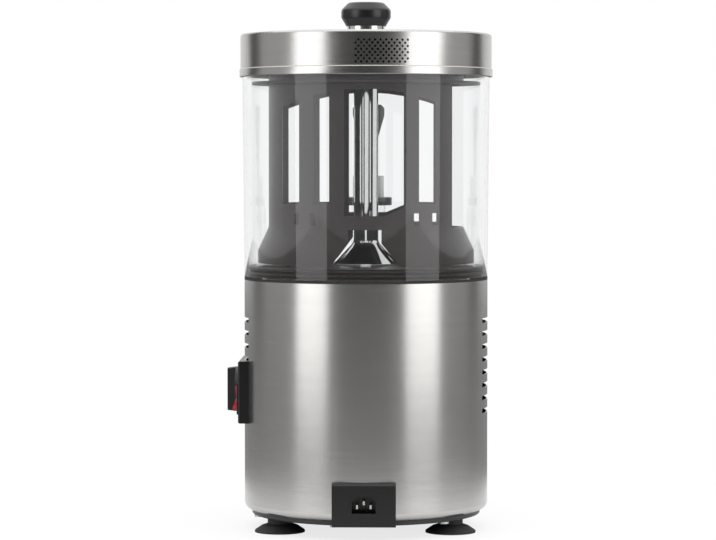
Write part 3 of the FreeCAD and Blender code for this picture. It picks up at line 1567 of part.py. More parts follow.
def build_tray():
    floor = tray_low_z + tray_wall
    grid_low = tray_top_z - grid_drop - grid_sheet
    outer = tray_shape("tray_outer", tray_half, tray_reach, tray_corner, tray_back, tray_low_z, tray_top_z)
    upper = tray_shape(
        "tray_upper", tray_half - tray_wall, tray_reach - tray_wall, tray_corner - tray_wall,
        tray_back + tray_wall, grid_low, tray_top_z + 1)
    inset = tray_wall + grid_ledge
    lower = tray_shape(
        "tray_lower", tray_half - inset, tray_reach - inset, tray_corner - inset,
        tray_back + inset, floor, grid_low + 1)
    channels = []
    slots = []
    tongue_top = tray_low_z - soft_gap
    tongue_low = tongue_top - tongue_sheet
    half = tongue_width / 2
    for side in (-1, 1):
        x = side * tongue_x
        wide = half + channel_wall + loose_gap
        channels.append(block(
            f"tray_channel_{side + 1}",
            (x - wide, x + wide),
            (-tongue_reach - channel_wall, -tray_back * 0.5),
            (tongue_low - soft_gap - channel_wall, tray_low_z),
        ))
        slots.append(block(
            f"tray_slot_{side + 1}", (x - half - loose_gap, x + half + loose_gap),
            (-tongue_reach - loose_gap, -tray_back * 0.5 + 1), (tongue_low - soft_gap, tray_low_z)))
    trim = rod("tray_channel_trim", tray_back, tongue_low - 10, tray_low_z)
    under = cut("tray_under", joined("tray_channels", *channels), trim, *slots)
    bowl = cut("tray_hollowed", outer, upper, lower)
    part("drip_tray", joined("drip_tray_solid", bowl, under))
    build_grid(grid_low)
    build_hanger(tongue_low, tongue_top)


def build_grid(low):
    gap = tray_wall + loose_gap
    plate = tray_shape(
        "grid_plate", tray_half - gap, tray_reach - gap, tray_corner - gap,
        tray_back + gap, low, low + grid_sheet)
    tools = []
    for number in range(grid_slot_count):
        offset = (number - (grid_slot_count - 1) / 2)
        x = offset * grid_pitch
        inset = abs(offset) * grid_pitch
        tools.append(block(
            f"grid_slot_{number}",
            (x - grid_slot / 2, x + grid_slot / 2),
            (-tray_reach + grid_border + inset * 0.32, -tray_back - grid_border + inset * 0.128),
            (low - 1, low + grid_sheet + 1),
        ))
    part("drip_grid", cut("drip_grid_cut", plate, *tools))


def build_hanger(tongue_low, tongue_top):
    band = ring("hanger_band", hanger_radius, shell_radius + slip, hanger_low_z, hanger_top_z)
    keep = block(
        "hanger_keep", (-hanger_half, hanger_half), (-hanger_radius - 1, 0), (hanger_low_z, hanger_top_z))
    strip = doc.addObject("Part::Common", "hanger_strip")
    strip.Base = band
    strip.Tool = keep
    tongues = []
    for side in (-1, 1):
        x = side * tongue_x
        tongues.append(block(
            f"hanger_tongue_{side + 1}", (x - tongue_width / 2, x + tongue_width / 2),
            (-tongue_reach, -shell_radius * 0.8), (tongue_low, tongue_top)))
    clear = rod("hanger_clear", shell_radius + slip, hanger_low_z - 1, hanger_top_z + 1)
    holes = []
    screws = []
    for number, (x, z) in enumerate(hanger_screw_places()):
        face = -root(hanger_radius * hanger_radius - size_of(x) * x)
        holes.append(rod_along_y(
            f"hanger_hole_{number}", screw_radius + slip, -hanger_radius - 1, -shell_radius * 0.8, x, z))
        screws.append(joined(
            f"hanger_screw_{number}",
            rod_along_y(f"hanger_shank_{number}", screw_radius, face, face + 8, x, z),
            rod_along_y(f"hanger_head_{number}", screw_head, face + 6, face + 9, x, z),
        ))
    part("tray_hanger", cut("tray_hanger_cut", joined("hanger_solid", strip, *tongues), clear, *holes))
    shell_screws.extend(screws)


# Build, check and write

def check(things):
    for thing in doc.Objects:
        if "Invalid" in thing.State or "Error" in thing.State:
            raise ValueError(f"{thing.Name} failed: {thing.State}")
    for thing in things:
        if thing.Shape.isNull() or not thing.Shape.isValid() or not thing.Shape.Solids:
            raise ValueError(f"{thing.Label} has no valid solid")


doc.recompute()
build_feet()
build_studs()
build_base()
build_shell()
build_gasket()
build_floor()
build_column()
build_bushes()
build_seal()
build_heating()
build_drive()
build_paddle()
build_bowl()
build_tap()
build_lid()
build_controls()
build_inlet()
build_terminals()
build_tray()
part("shell_screws", group("shell_screws_group", *shell_screws))
doc.recompute()
check(parts)

os.makedirs("parts", exist_ok=True)
for thing in parts:
    thing.Shape.exportStep(f"parts/{thing.Label}.step")
    print(f"{thing.Label}: {len(thing.Shape.Solids)} solids, {thing.Shape.Volume / 1000:.1f} cm3")
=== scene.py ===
import bmesh
import bpy
import json
import math
from mathutils import Matrix, Vector

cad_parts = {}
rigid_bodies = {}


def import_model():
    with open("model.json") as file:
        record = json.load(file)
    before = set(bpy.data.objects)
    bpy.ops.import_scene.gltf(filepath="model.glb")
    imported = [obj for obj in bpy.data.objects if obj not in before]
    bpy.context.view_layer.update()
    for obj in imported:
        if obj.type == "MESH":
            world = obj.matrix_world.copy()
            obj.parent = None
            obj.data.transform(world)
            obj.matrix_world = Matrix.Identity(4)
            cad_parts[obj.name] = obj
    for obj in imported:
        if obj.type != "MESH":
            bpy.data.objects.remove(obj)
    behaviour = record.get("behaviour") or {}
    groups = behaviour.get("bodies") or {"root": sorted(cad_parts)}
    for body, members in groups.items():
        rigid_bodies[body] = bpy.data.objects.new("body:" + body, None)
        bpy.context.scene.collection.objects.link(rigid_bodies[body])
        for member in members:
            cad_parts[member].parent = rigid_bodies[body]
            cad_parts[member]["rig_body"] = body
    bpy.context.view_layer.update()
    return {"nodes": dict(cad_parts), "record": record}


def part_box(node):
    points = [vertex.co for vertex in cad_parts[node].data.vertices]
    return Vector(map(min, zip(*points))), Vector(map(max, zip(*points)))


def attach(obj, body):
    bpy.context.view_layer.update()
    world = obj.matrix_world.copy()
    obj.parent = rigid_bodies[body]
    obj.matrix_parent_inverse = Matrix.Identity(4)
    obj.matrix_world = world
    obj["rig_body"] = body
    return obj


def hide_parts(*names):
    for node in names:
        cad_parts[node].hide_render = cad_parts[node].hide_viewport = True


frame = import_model()
nodes = frame["nodes"]
scene = bpy.context.scene

# Places read from the frame

MM = 0.001
column_low, column_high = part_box("column")
AXIS = Vector(((column_low.x + column_high.x) / 2, (column_low.y + column_high.y) / 2, 0))


# Shader expressions

class Wire:
    """A socket or a number in a material's tree, with arithmetic that adds Math nodes."""

    def __init__(self, tree, socket):
        self.tree = tree
        self.socket = socket

    def math(self, operation, *others):
        node = self.tree.nodes.new("ShaderNodeMath")
        node.operation = operation
        for index, value in enumerate((self, *others)):
            self.tree.put(node.inputs[index], value)
        return Wire(self.tree, node.outputs[0])

    def __add__(self, other):
        return self.math("ADD", other)

    def __sub__(self, other):
        return self.math("SUBTRACT", other)

    def __mul__(self, other):
        return self.math("MULTIPLY", other)

    def __truediv__(self, other):
        return self.math("DIVIDE", other)

    def __rsub__(self, other):
        return Wire(self.tree, other).math("SUBTRACT", self)

    def __rtruediv__(self, other):
        return Wire(self.tree, other).math("DIVIDE", self)

    __radd__ = __add__
    __rmul__ = __mul__

    def over(self, low, high):
        """0 below low, 1 above high, smooth between them."""
        return self.tree.node(
            "ShaderNodeMapRange", {"interpolation_type": "SMOOTHSTEP"},
            {"Value": self, "From Min": low, "From Max": high})["Result"]


class Tree:
    """The node tree of a material or of the world."""

    def __init__(self, owner):
        owner.use_nodes = True
        self.nodes = owner.node_tree.nodes
        self.links = owner.node_tree.links

    def put(self, socket, value):
        """Links a socket to a wire, or sets it to a plain value."""
        if isinstance(value, Wire):
            value = value.socket
        if isinstance(value, bpy.types.NodeSocket):
            self.links.new(value, socket)
        else:
            socket.default_value = value

    def node(self, kind, settings=None, values=None):
        """Adds a node, sets it up, fills its sockets, and gives its outputs by name."""
        node = self.nodes.new(kind)
        for name, value in (settings or {}).items():
            if name == "stops":
                set_stops(node.color_ramp, value)
            else:
                setattr(node, name, value)
        for name, value in (values or {}).items():
            self.put(node.inputs[name], value)
        return {output.name: Wire(self, output) for output in node.outputs if output.enabled}

    def noise(self, vector, scale, detail=3.0, roughness=0.5):
        return self.node(
            "ShaderNodeTexNoise", None,
            {"Vector": vector, "Scale": scale, "Detail": detail, "Roughness": roughness})["Fac"]

    def streaks(self, along, across, per_along=1.0, per_across=1.0, seed=0.0, detail=2.0, roughness=0.5):
        """Noise drawn out into streaks, with so many to a unit along them and across them."""
        stretched = self.vector(along * per_along, seed, across * per_across)
        return self.noise(stretched, 1.0, detail, roughness)

    def blend(self, factor, first, second):
        """Mixes two colours."""
        node = self.nodes.new("ShaderNodeMix")
        node.data_type = "RGBA"
        self.put(node.inputs[0], factor)
        self.put(node.inputs[6], first)
        self.put(node.inputs[7], second)
        return Wire(self, node.outputs[2])

    def tint(self, shade, red, green, blue):
        """A grey shade turned into a colour by a share for each channel."""
        return self.node(
            "ShaderNodeCombineColor", None,
            {"Red": shade * red, "Green": shade * green, "Blue": shade * blue})["Color"]

    def vector(self, x, y, z):
        return self.node("ShaderNodeCombineXYZ", None, {"X": x, "Y": y, "Z": z})["Vector"]

    def place(self):
        """The piece's own coordinates in metres, whole and split."""
        whole = self.node("ShaderNodeTexCoord")["Object"]
        split = self.node("ShaderNodeSeparateXYZ", None, {"Vector": whole})
        return whole, split["X"], split["Y"], split["Z"]

    def around(self):
        """The angle about the vessel's axis in radians, and the height in metres."""
        _, x, y, z = self.place()
        return (x - AXIS.x).math("ARCTAN2", y - AXIS.y), z

    def bump(self, height, strength, distance):
        return self.node(
            "ShaderNodeBump", None,
            {"Height": height, "Strength": strength, "Distance": distance})["Normal"]

    def seen_directly(self):
        """1 for what the camera sees itself or through the clear bowl, and the light path's outputs."""
        path = self.node("ShaderNodeLightPath")
        return path["Is Camera Ray"].math("MAXIMUM", path["Is Transmission Ray"]), path


def set_stops(ramp, stops):
    """Fills a colour ramp from positions and greys."""
    while len(ramp.elements) < len(stops):
        ramp.elements.new(1.0)
    for element, (position, brightness) in zip(ramp.elements, stops):
        element.position = position
        element.color = grey(brightness)


def grey(value):
    return (value, value, value, 1)


def uneven(middle, *layers):
    """A value that wavers about its middle. A layer is a pattern and how far it moves the value."""
    total = middle - sum(amount for _, amount in layers) / 2
    for pattern, amount in layers:
        total = pattern * amount + total
    return total


def scaled(colour, share):
    return (*(part * share for part in colour), 1)


# Materials

MATERIALS = {}


def finish(name, **values):
    """A material with its Principled shader's sockets filled, and its tree for what varies."""
    made = bpy.data.materials.new(name)
    tree = Tree(made)
    shader = tree.nodes["Principled BSDF"]
    for socket, value in values.items():
        tree.put(shader.inputs[socket.replace("_", " ")], value)
    MATERIALS[name] = made
    return tree, shader


def brushed_steel(name, tone, rough):
    """Stainless sheet brushed around the vessel: long thin marks, a little uneven."""
    tree, shader = finish(name, Metallic=1.0)
    angle, height = tree.around()
    marks = tree.streaks(angle, height, per_along=3.0, per_across=2600.0, detail=4.0, roughness=0.65)
    bands = tree.streaks(angle, height, per_along=1.2, per_across=160.0, seed=3.0)
    clouds = tree.streaks(angle, height, per_along=1.5, per_across=9.0, seed=7.0)
    shade = uneven(tone, (marks, 0.10), (bands, 0.05), (clouds, 0.05))
    grooves = tree.bump(marks + bands * 0.4, strength=0.22, distance=0.12 * MM)
    tree.put(shader.inputs["Base Color"], tree.tint(shade, red=1.0, green=0.985, blue=0.96))
    tree.put(shader.inputs["Roughness"], uneven(rough, (marks, 0.16), (clouds, 0.06)))
    tree.put(shader.inputs["Normal"], grooves)


def flat_brushed_steel(name, tone, rough):
    """Steel sheet brushed along X, for small flat pieces."""
    tree, shader = finish(name, Metallic=1.0)
    _, x, y, z = tree.place()
    per_along = 30.0
    per_across = 2200.0
    stretched = tree.vector(x * per_along, y * per_across, z * per_across)
    marks = tree.noise(stretched, 1.0, detail=4.0, roughness=0.6)
    shade = uneven(tone, (marks, 0.12))
    tree.put(shader.inputs["Base Color"], tree.tint(shade, red=1.0, green=1.0, blue=0.98))
    tree.put(shader.inputs["Roughness"], uneven(rough, (marks, 0.15)))
    tree.put(shader.inputs["Normal"], tree.bump(marks, strength=0.15, distance=0.1 * MM))


def polished_steel(name, dark, light, rough):
    """Mirror polished tube with faint drawing marks."""
    tree, shader = finish(name, Metallic=1.0)
    whole, _, _, height = tree.place()
    marks = tree.noise(whole, scale=90.0)
    rings = tree.streaks(0.0, height, per_across=700.0, detail=3.0)
    tree.put(shader.inputs["Base Color"], tree.blend(marks, grey(dark), grey(light)))
    tree.put(shader.inputs["Roughness"], uneven(rough, (marks, 0.05), (rings, 0.03)))


def moulded(name, colour, rough, depth=0.06, grain=1400.0, coat=0.0, spread=0.25):
    """Moulded plastic: a fine grain of a depth in mm, a slow change of gloss and of colour."""
    tree, shader = finish(name, Coat_Weight=coat, Coat_Roughness=0.25, IOR=1.5)
    whole, _, _, _ = tree.place()
    clouds = tree.noise(whole, scale=14.0)
    grains = tree.noise(whole, scale=grain, detail=2.0)
    dark = scaled(colour, 1 - spread)
    light = scaled(colour, 1 + spread)
    tree.put(shader.inputs["Base Color"], tree.blend(clouds, dark, light))
    tree.put(shader.inputs["Roughness"], uneven(rough, (clouds, 0.12), (grains, 0.06)))
    tree.put(shader.inputs["Normal"], tree.bump(grains, strength=0.35, distance=depth * MM))


def clear_plastic(name, dark, light, rough):
    """Clear injection moulded bowl with the faintest grey."""
    tree, shader = finish(name, Transmission_Weight=1.0, IOR=1.49)
    whole, _, _, _ = tree.place()
    clouds = tree.noise(whole, scale=9.0, detail=2.0)
    tree.put(shader.inputs["Base Color"], tree.blend(clouds, dark, light))
    tree.put(shader.inputs["Roughness"], uneven(rough, (clouds, 0.02)))


def red_lens(name, dark, light, rough):
    """Clear red rocker with a ribbed inside."""
    tree, shader = finish(
        name, IOR=1.5, Coat_Weight=0.6, Coat_Roughness=0.06, Emission_Strength=0.12)
    whole, _, _, height = tree.place()
    ribs = tree.streaks(0.0, height, per_across=420.0, detail=1.0).over(0.45, 0.6)
    clouds = tree.noise(whole, scale=120.0, detail=2.0)
    colour = tree.blend(ribs * 0.6 + clouds * 0.3, dark, light)
    tree.put(shader.inputs["Base Color"], colour)
    tree.put(shader.inputs["Emission Color"], colour)
    tree.put(shader.inputs["Roughness"], uneven(rough, (clouds, 0.1)))


def plain_metal(name, colour, rough=0.35):
    """Plated or cast metal with a little mottling."""
    tree, shader = finish(name, Metallic=1.0)
    whole, _, _, _ = tree.place()
    clouds = tree.noise(whole, scale=60.0, detail=4.0)
    pits = tree.noise(whole, scale=900.0, detail=2.0)
    tree.put(shader.inputs["Base Color"], tree.blend(clouds, scaled(colour, 0.85), scaled(colour, 1)))
    tree.put(shader.inputs["Roughness"], uneven(rough, (clouds, 0.2)))
    tree.put(shader.inputs["Normal"], tree.bump(pits, strength=0.2, distance=0.05 * MM))


brushed_steel("brushed_steel", tone=0.53, rough=0.235)
flat_brushed_steel("flat_steel", tone=0.62, rough=0.315)
polished_steel("polished_steel", dark=0.69, light=0.77, rough=0.07)
polished_steel("collar_metal", dark=0.73, light=0.81, rough=0.17)
moulded("black_plastic", (0.013, 0.013, 0.014), 0.40)
moulded("knob_plastic", (0.009, 0.009, 0.010), 0.30, depth=0.03, grain=1600.0, coat=0.08)
moulded("inlet_black", (0.004, 0.004, 0.0045), 0.33, depth=0.04)
moulded("brown_plastic", (0.030, 0.017, 0.015), 0.34, depth=0.01, grain=700.0)
moulded("tray_plastic", (0.026, 0.019, 0.016), 0.40)
moulded("lever_plastic", (0.05, 0.05, 0.055), 0.35, depth=0.03)
clear_plastic(
    "clear_plastic", dark=(0.955, 0.962, 0.965, 1), light=(0.985, 0.988, 0.99, 1), rough=0.015)
moulded("pale_plastic", (0.62, 0.63, 0.63), 0.4, depth=0.03, grain=900.0, spread=0.04)
moulded("rubber", (0.016, 0.016, 0.016), 0.72, depth=0.1, grain=900.0)
moulded("silicone", (0.45, 0.40, 0.35), 0.55, depth=0.04, grain=900.0, spread=0.05)
red_lens("red_lens", dark=(0.42, 0.004, 0.014, 1), light=(0.62, 0.012, 0.03, 1), rough=0.19)
plain_metal("steel", (0.62, 0.62, 0.61))
plain_metal("cast_aluminium", (0.6, 0.6, 0.61), 0.5)
moulded("motor_paint", (0.03, 0.03, 0.033), 0.35, depth=0.05, grain=700.0, coat=0.3)
plain_metal("thermostat_metal", (0.62, 0.59, 0.52), 0.4)
plain_metal("copper", (0.78, 0.42, 0.26), 0.3)
plain_metal("pin_metal", (0.78, 0.75, 0.66), 0.25)
moulded("white_print", (0.75, 0.75, 0.73), 0.5, depth=0.02, grain=900.0, spread=0.04)


# Pieces

node_slot = {entry["node"]: entry["material_slot"] for entry in frame["record"]["subparts"]}
MERGE_DISTANCE = 0.01 * MM
SPUN_MERGE_DISTANCE = 0.005 * MM
FLAT_ENOUGH = math.radians(0.4)
BEVELLED_EDGE = math.radians(40)
BEVEL_SEGMENTS = 2
LARGE_FACE_WEIGHT = 90


def body_of(node):
    return nodes[node]["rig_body"]


def paint(piece, name):
    piece.data.materials.clear()
    piece.data.materials.append(MATERIALS[name])


def object_from(mesh, name, paint_name, body):
    """Turns a bmesh into a piece that rides on a body."""
    data = bpy.data.meshes.new(name)
    mesh.to_mesh(data)
    mesh.free()
    piece = bpy.data.objects.new(name, data)
    scene.collection.objects.link(piece)
    paint(piece, paint_name)
    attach(piece, body)
    return piece


def soften(mesh, crease):
    """Smooth faces, with sharp edges where the surface turns by more than the crease in degrees."""
    for face in mesh.faces:
        face.smooth = True
    for edge in mesh.edges:
        edge.smooth = not (edge.is_manifold and edge.calc_face_angle() > math.radians(crease))


def even_normals(piece):
    """Lets the large faces set the normals, so that narrow rims don't bend the light beside them."""
    weigh = piece.modifiers.new("normals", "WEIGHTED_NORMAL")
    weigh.keep_sharp = True
    weigh.weight = LARGE_FACE_WEIGHT


def round_edges(piece, width):
    """Rounds the piece's edges by a width in metres."""
    round_off = piece.modifiers.new("edges", "BEVEL")
    round_off.width = width
    round_off.segments = BEVEL_SEGMENTS
    round_off.limit_method = "ANGLE"
    round_off.angle_limit = BEVELLED_EDGE
    round_off.harden_normals = True


def skin(node, paint_name, crease, bevel):
    """A finished skin over a CAD node: its own shape, merged, smooth, with softened edges."""
    mesh = bmesh.new()
    mesh.from_mesh(nodes[node].data)
    bmesh.ops.remove_doubles(mesh, verts=mesh.verts, dist=MERGE_DISTANCE)
    if bevel:
        bmesh.ops.dissolve_limit(
            mesh, angle_limit=FLAT_ENOUGH, verts=mesh.verts, edges=mesh.edges,
            use_dissolve_boundaries=False)
    soften(mesh, crease)
    piece = object_from(mesh, f"{node}_skin", paint_name, body_of(node))
    if bevel:
        round_edges(piece, bevel)
    else:
        even_normals(piece)
    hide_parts(node)


BOWL_OUTER_LOW = 130
BOWL_OUTER_HIGH = 132
BOWL_WALL = 4
BOWL_FOOT_CORNER = 0.4
BOWL_RIM_ROUND = 1.2
BOWL_RIM_MIDDLE = 0.35
BOWL_CREASE = 40
BOWL_STEPS = 192


def bowl_profile(low, high):
    """The wall's section as (radius, height) corners in mm, with a rounded rim."""
    inner_high = BOWL_OUTER_HIGH - BOWL_WALL
    return (
        (BOWL_OUTER_LOW - BOWL_WALL, low),
        (BOWL_OUTER_LOW - BOWL_FOOT_CORNER, low),
        (BOWL_OUTER_LOW, low + BOWL_FOOT_CORNER),
        (BOWL_OUTER_HIGH, high - BOWL_RIM_ROUND),
        (BOWL_OUTER_HIGH - BOWL_RIM_MIDDLE, high - BOWL_RIM_MIDDLE),
        (BOWL_OUTER_HIGH - BOWL_RIM_ROUND, high),
        (inner_high + BOWL_RIM_ROUND, high),
        (inner_high + BOWL_RIM_MIDDLE, high - BOWL_RIM_MIDDLE),
        (inner_high, high - BOWL_RIM_ROUND),
    )


def clear_bowl():
    """The clear bowl's wall, turned finely so that light bends smoothly in it."""
    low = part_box("shell_gasket")[1].z / MM
    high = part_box("bowl")[1].z / MM
    mesh = bmesh.new()
    corners = []
    for radius, height in bowl_profile(low, high):
        corners.append(mesh.verts.new((AXIS.x + radius * MM, AXIS.y, height * MM)))
    rim = [mesh.edges.new((corners[index - 1], corners[index])) for index in range(len(corners))]
    bmesh.ops.spin(
        mesh, geom=corners + rim, cent=AXIS, axis=(0, 0, 1), angle=2 * math.pi,
        steps=BOWL_STEPS, use_merge=True)
    bmesh.ops.remove_doubles(mesh, verts=mesh.verts, dist=SPUN_MERGE_DISTANCE)
    bmesh.ops.recalc_face_normals(mesh, faces=mesh.faces)
    if mesh.calc_volume(signed=True) < 0:
        bmesh.ops.reverse_faces(mesh, faces=mesh.faces)
    soften(mesh, BOWL_CREASE)
    wall_piece = object_from(
        mesh, "bowl_wall", "clear_plastic", body_of("bowl"))
    even_normals(wall_piece)
    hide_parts("bowl")


# Each row: the CAD node, its finish, the crease angle in degrees, and the edges' rounding in metres
SKINS = (
    ("steel_shell", "brushed_steel", 30, 0.0),
    ("lid_shell", "brushed_steel", 30, 0.0),
    ("floor_pan", "brushed_steel", 30, 0.0),
    ("column", "polished_steel", 40, 0.0),
    ("lid_collar", "collar_metal", 30, 0.0),
    ("lid_knob", "knob_plastic", 40, 0.0),
    ("tap_body", "clear_plastic", 30, 0.0),
    ("shell_gasket", "rubber", 30, 0.0),
    ("paddle", "brown_plastic", 30, 0.0),
    ("base_pan", "black_plastic", 30, 0.0),
    ("bowl_seal", "brown_plastic", 30, 0.0),
    ("foot_front", "rubber", 35, 0.0),
    ("foot_rear_left", "rubber", 35, 0.0),
    ("foot_rear_right", "rubber", 35, 0.0),
    ("tap_lever", "lever_plastic", 30, 0.0006),
    ("tap_bonnet", "pale_plastic", 30, 0.0),
    ("tap_ring_nut", "black_plastic", 35, 0.0),
    ("tap_piston", "pale_plastic", 30, 0.0),
    ("inlet_box", "inlet_black", 30, 0.0006),
    ("inlet_socket", "inlet_black", 30, 0.0003),
    ("control_bezel", "inlet_black", 30, 0.0006),
    ("rocker_housing", "inlet_black", 30, 0.0003),
    ("rocker_button", "red_lens", 30, 0.0005),
    ("thermostat_knob", "black_plastic", 35, 0.0006),
    ("drip_tray", "tray_plastic", 30, 0.0005),
    ("drip_grid", "flat_steel", 30, 0.0002),
    ("tray_hanger", "flat_steel", 30, 0.0),
    ("paddle_nut", "black_plastic", 30, 0.0),
    ("drive_shaft", "steel", 30, 0.0),
    ("inlet_pins", "pin_metal", 30, 0.0),
)


def build_pieces():
    """The bowl, the skins, and the finish of every CAD node that shows as it is."""
    clear_bowl()
    covered = {"bowl"}
    for row in SKINS:
        skin(*row)
        covered.add(row[0])
    for node, thing in nodes.items():
        if node not in covered:
            paint(thing, node_slot[node])


# Dial marks, with sizes in mm and angles in degrees

DIAL_TURN = 270
DIAL_NUMBERS = ("0", "30", "50", "70", "90")
DIAL_TICKS = 21
TICKS_PER_NUMBER = 5
LONG_TICK = {"radius": 26.3, "length": 2.0, "width": 0.5}
SHORT_TICK = {"radius": 25.9, "length": 1.2, "width": 0.3}
TICK_THICKNESS = 0.12
TICK_LIFT = 0.03
NUMBER_RADIUS = 29.4
NUMBER_SIZE = 3.6
NUMBER_THICKNESS = 0.05
NUMBER_LIFT = 0.02


def dial_centre():
    low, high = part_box("thermostat_knob")
    return Vector(((low.x + high.x) / 2, (low.y + high.y) / 2, (low.z + high.z) / 2))


def on_panel(radius, angle, lift):
    """A place on the control panel's face, at a radius and an angle about the dial."""
    turn = math.radians(angle)
    centre = dial_centre()
    return Vector((
        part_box("control_bezel")[1].x + lift * MM,
        centre.y - math.sin(turn) * radius * MM,
        centre.z + math.cos(turn) * radius * MM))


def mark_angle(index, count):
    """The angle of one of the marks that are spread over the dial's turn."""
    return DIAL_TURN / 2 - DIAL_TURN * index / (count - 1)


def tick(mesh, radius, length, width, angle):
    """A thin printed bar that points at the dial's middle."""
    size = Matrix.Diagonal((TICK_THICKNESS * MM, width * MM, length * MM, 1))
    turned_bar = Matrix.Rotation(math.radians(angle), 4, "X")
    place = Matrix.Translation(on_panel(radius, angle, TICK_LIFT))
    bmesh.ops.create_cube(mesh, size=1, matrix=place @ turned_bar @ size)


def dial_scale():
    """The printed ticks round the dial, and the generic numbers beside them."""
    mesh = bmesh.new()
    for index in range(DIAL_TICKS):
        sizes = LONG_TICK if index % TICKS_PER_NUMBER == 0 else SHORT_TICK
        tick(mesh, angle=mark_angle(index, DIAL_TICKS), **sizes)
    object_from(mesh, "dial_ticks", "white_print", body_of("control_bezel"))
    for index, number in enumerate(DIAL_NUMBERS):
        angle = mark_angle(index, len(DIAL_NUMBERS))
        place = on_panel(NUMBER_RADIUS, angle, NUMBER_LIFT)
        printed_number(number, place, f"dial_number_{number}")


def printed_number(number, place, name):
    """A number in plain print that faces +X, with its place in its mesh."""
    curve = bpy.data.curves.new(f"{name}_curve", "FONT")
    curve.body = number
    curve.size = NUMBER_SIZE * MM
    curve.extrude = NUMBER_THICKNESS * MM
    curve.align_x = "CENTER"
    curve.align_y = "CENTER"
    holder = bpy.data.objects.new(f"{name}_holder", curve)
    data = bpy.data.meshes.new_from_object(holder)
    bpy.data.objects.remove(holder)
    quarter_turn = math.radians(90)
    facing = Matrix.Rotation(quarter_turn, 4, "Z") @ Matrix.Rotation(quarter_turn, 4, "X")
    mesh = bmesh.new()
    mesh.from_mesh(data)
    bmesh.ops.transform(mesh, matrix=Matrix.Translation(place) @ facing, verts=mesh.verts)
    object_from(mesh, name, "white_print", body_of("control_bezel"))


# Studio

# The surround's brightness by direction: 0 is the camera's side and 1 is behind the machine
SURROUND = (
    (0.0, 0.03),
    (0.10, 0.04),
    (0.17, 0.16),
    (0.36, 0.46),
    (0.60, 0.50),
    (0.655, 0.06),
    (0.715, 0.06),
    (0.76, 0.85),
    (1.0, 1.0),
)
OVERHEAD = 1.5
OVERHEAD_STARTS = 0.35
OVERHEAD_FULL = 0.75


def studio_world():
    """White behind the machine, grey at the sides and dark at the camera's side."""
    world = bpy.data.worlds.new("studio")
    scene.world = world
    tree = Tree(world)
    background = tree.nodes["Background"]
    direction = tree.node("ShaderNodeTexCoord")["Generated"]
    split = tree.node("ShaderNodeSeparateXYZ", None, {"Vector": direction})
    turn = split["X"].math("ARCTAN2", split["Y"]).math("ABSOLUTE") / math.pi
    sides = tree.node("ShaderNodeValToRGB", {"stops": SURROUND}, {"Fac": turn})["Color"]
    upward = split["Z"].over(OVERHEAD_STARTS, OVERHEAD_FULL)
    studio = tree.blend(upward, sides, grey(OVERHEAD))
    direct, _ = tree.seen_directly()
    tree.put(background.inputs["Color"], tree.blend(direct, studio, grey(1.0)))
    background.inputs["Strength"].default_value = 1.0


def aim(thing, place, target):
    """Puts a lamp or the camera at a place and turns it to a target."""
    scene.collection.objects.link(thing)
    thing.location = place
    thing.rotation_euler = (target - place).to_track_quat("-Z", "Y").to_euler()


# Each row: the light's name, its azimuth from the camera's side in degrees, its width, its watts
SOFTBOXES = (
    ("left_softbox", 50, 1.0, 10.0),
    ("right_softbox", -54, 1.1, 11.5),
)
SOFTBOX_AWAY = 1.8
SOFTBOX_HEIGHT = 1.7
SOFTBOX_MIDDLE = 0.6


def softbox(name, azimuth, width, power):
    """A tall soft light that faces the vessel's axis."""
    data = bpy.data.lights.new(name, "AREA")
    data.shape = "RECTANGLE"
    data.size = width
    data.size_y = SOFTBOX_HEIGHT
    data.energy = power
    lamp = bpy.data.objects.new(name, data)
    turn = math.radians(azimuth)
    outward = Vector((math.sin(turn) * SOFTBOX_AWAY, math.cos(turn) * SOFTBOX_AWAY, SOFTBOX_MIDDLE))
    aim(lamp, AXIS + outward, AXIS + Vector((0, 0, SOFTBOX_MIDDLE)))
    lamp.visible_transmission = False


def studio_lights():
    for row in SOFTBOXES:
        softbox(*row)


FLOOR_SIZE = 12
FLOOR_NEAR = 0.22
FLOOR_FAR = 0.6
NEAR_LIFT = 0.78
# Painted shade: in reflections, the floor away from the machine shows this grey, at this share of its
# look
MIRRORED_SHADE_SHARE = 0.85
MIRRORED_PAINTED_SHADE = 0.16


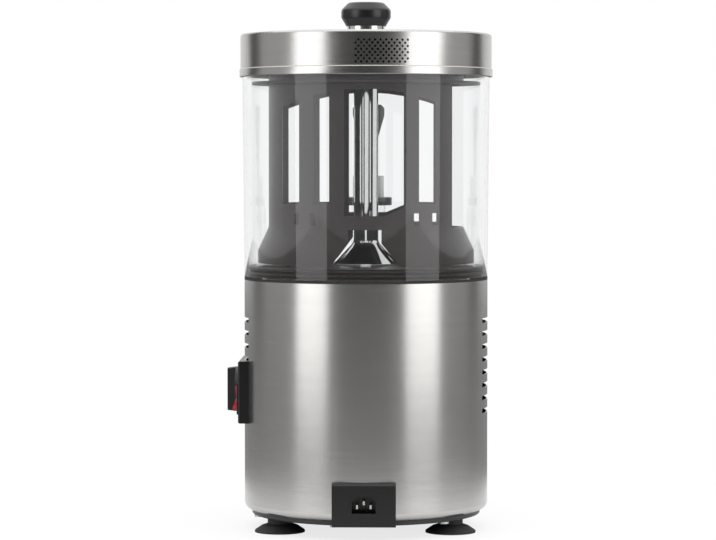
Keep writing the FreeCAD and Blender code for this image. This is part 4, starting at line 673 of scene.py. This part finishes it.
def studio_floor():
    """A white floor that keeps the machine's shadow near it and turns plain white further off, and that
    shows a painted shade of grey in reflections further off.
    """
    bpy.ops.mesh.primitive_plane_add(size=FLOOR_SIZE, location=(AXIS.x, AXIS.y, 0))
    floor = bpy.context.object
    floor.name = "floor"
    tree, shader = finish("floor_white", Roughness=0.6)
    whole, _, _, _ = tree.place()
    clouds = tree.noise(whole, scale=3.0, detail=2.0)
    tree.put(shader.inputs["Base Color"], tree.blend(clouds, grey(0.90), grey(0.93)))
    flat = tree.node(
        "ShaderNodeVectorMath", {"operation": "MULTIPLY"}, {0: whole, 1: (1.0, 1.0, 0.0)})["Vector"]
    from_middle = tree.node("ShaderNodeVectorMath", {"operation": "LENGTH"}, {0: flat})["Value"]
    away = from_middle.over(FLOOR_NEAR, FLOOR_FAR)
    direct, path = tree.seen_directly()
    # Painted shade: rays mirrored off the machine see the floor further off as plain grey
    painted_shade_in_mirrors = path["Is Glossy Ray"] * away
    lift = tree.node("ShaderNodeEmission", None, {
        "Color": tree.blend(painted_shade_in_mirrors, grey(1.0), grey(MIRRORED_PAINTED_SHADE)), "Strength": 1.0})["Emission"]
    seen = direct * (away * (1 - NEAR_LIFT) + NEAR_LIFT)
    share = seen.math("MAXIMUM", painted_shade_in_mirrors * MIRRORED_SHADE_SHARE)
    surface = tree.node(
        "ShaderNodeMixShader", None, {0: share, 1: shader.outputs[0], 2: lift})["Shader"]
    tree.put(tree.nodes["Material Output"].inputs["Surface"], surface)
    paint(floor, "floor_white")


# The photograph's view: from behind, a little above the middle, from about 3 m
PHOTO_WIDTH = 716
FOCAL_PIXELS = 2800
SENSOR = 36
CAMERA_PLACE = AXIS + Vector((-0.052, 2.996, 0.3975))
CAMERA_TARGET = AXIS + Vector((0.0086, 0, 0.2745))


def camera():
    data = bpy.data.cameras.new("camera")
    data.sensor_width = SENSOR
    data.lens = FOCAL_PIXELS / PHOTO_WIDTH * SENSOR
    data.clip_start = 0.1
    data.clip_end = 60
    thing = bpy.data.objects.new("camera", data)
    aim(thing, CAMERA_PLACE, CAMERA_TARGET)
    scene.camera = thing


camera()
studio_world()
studio_lights()
studio_floor()
scene.view_settings.view_transform = "Standard"
build_pieces()
dial_scale()
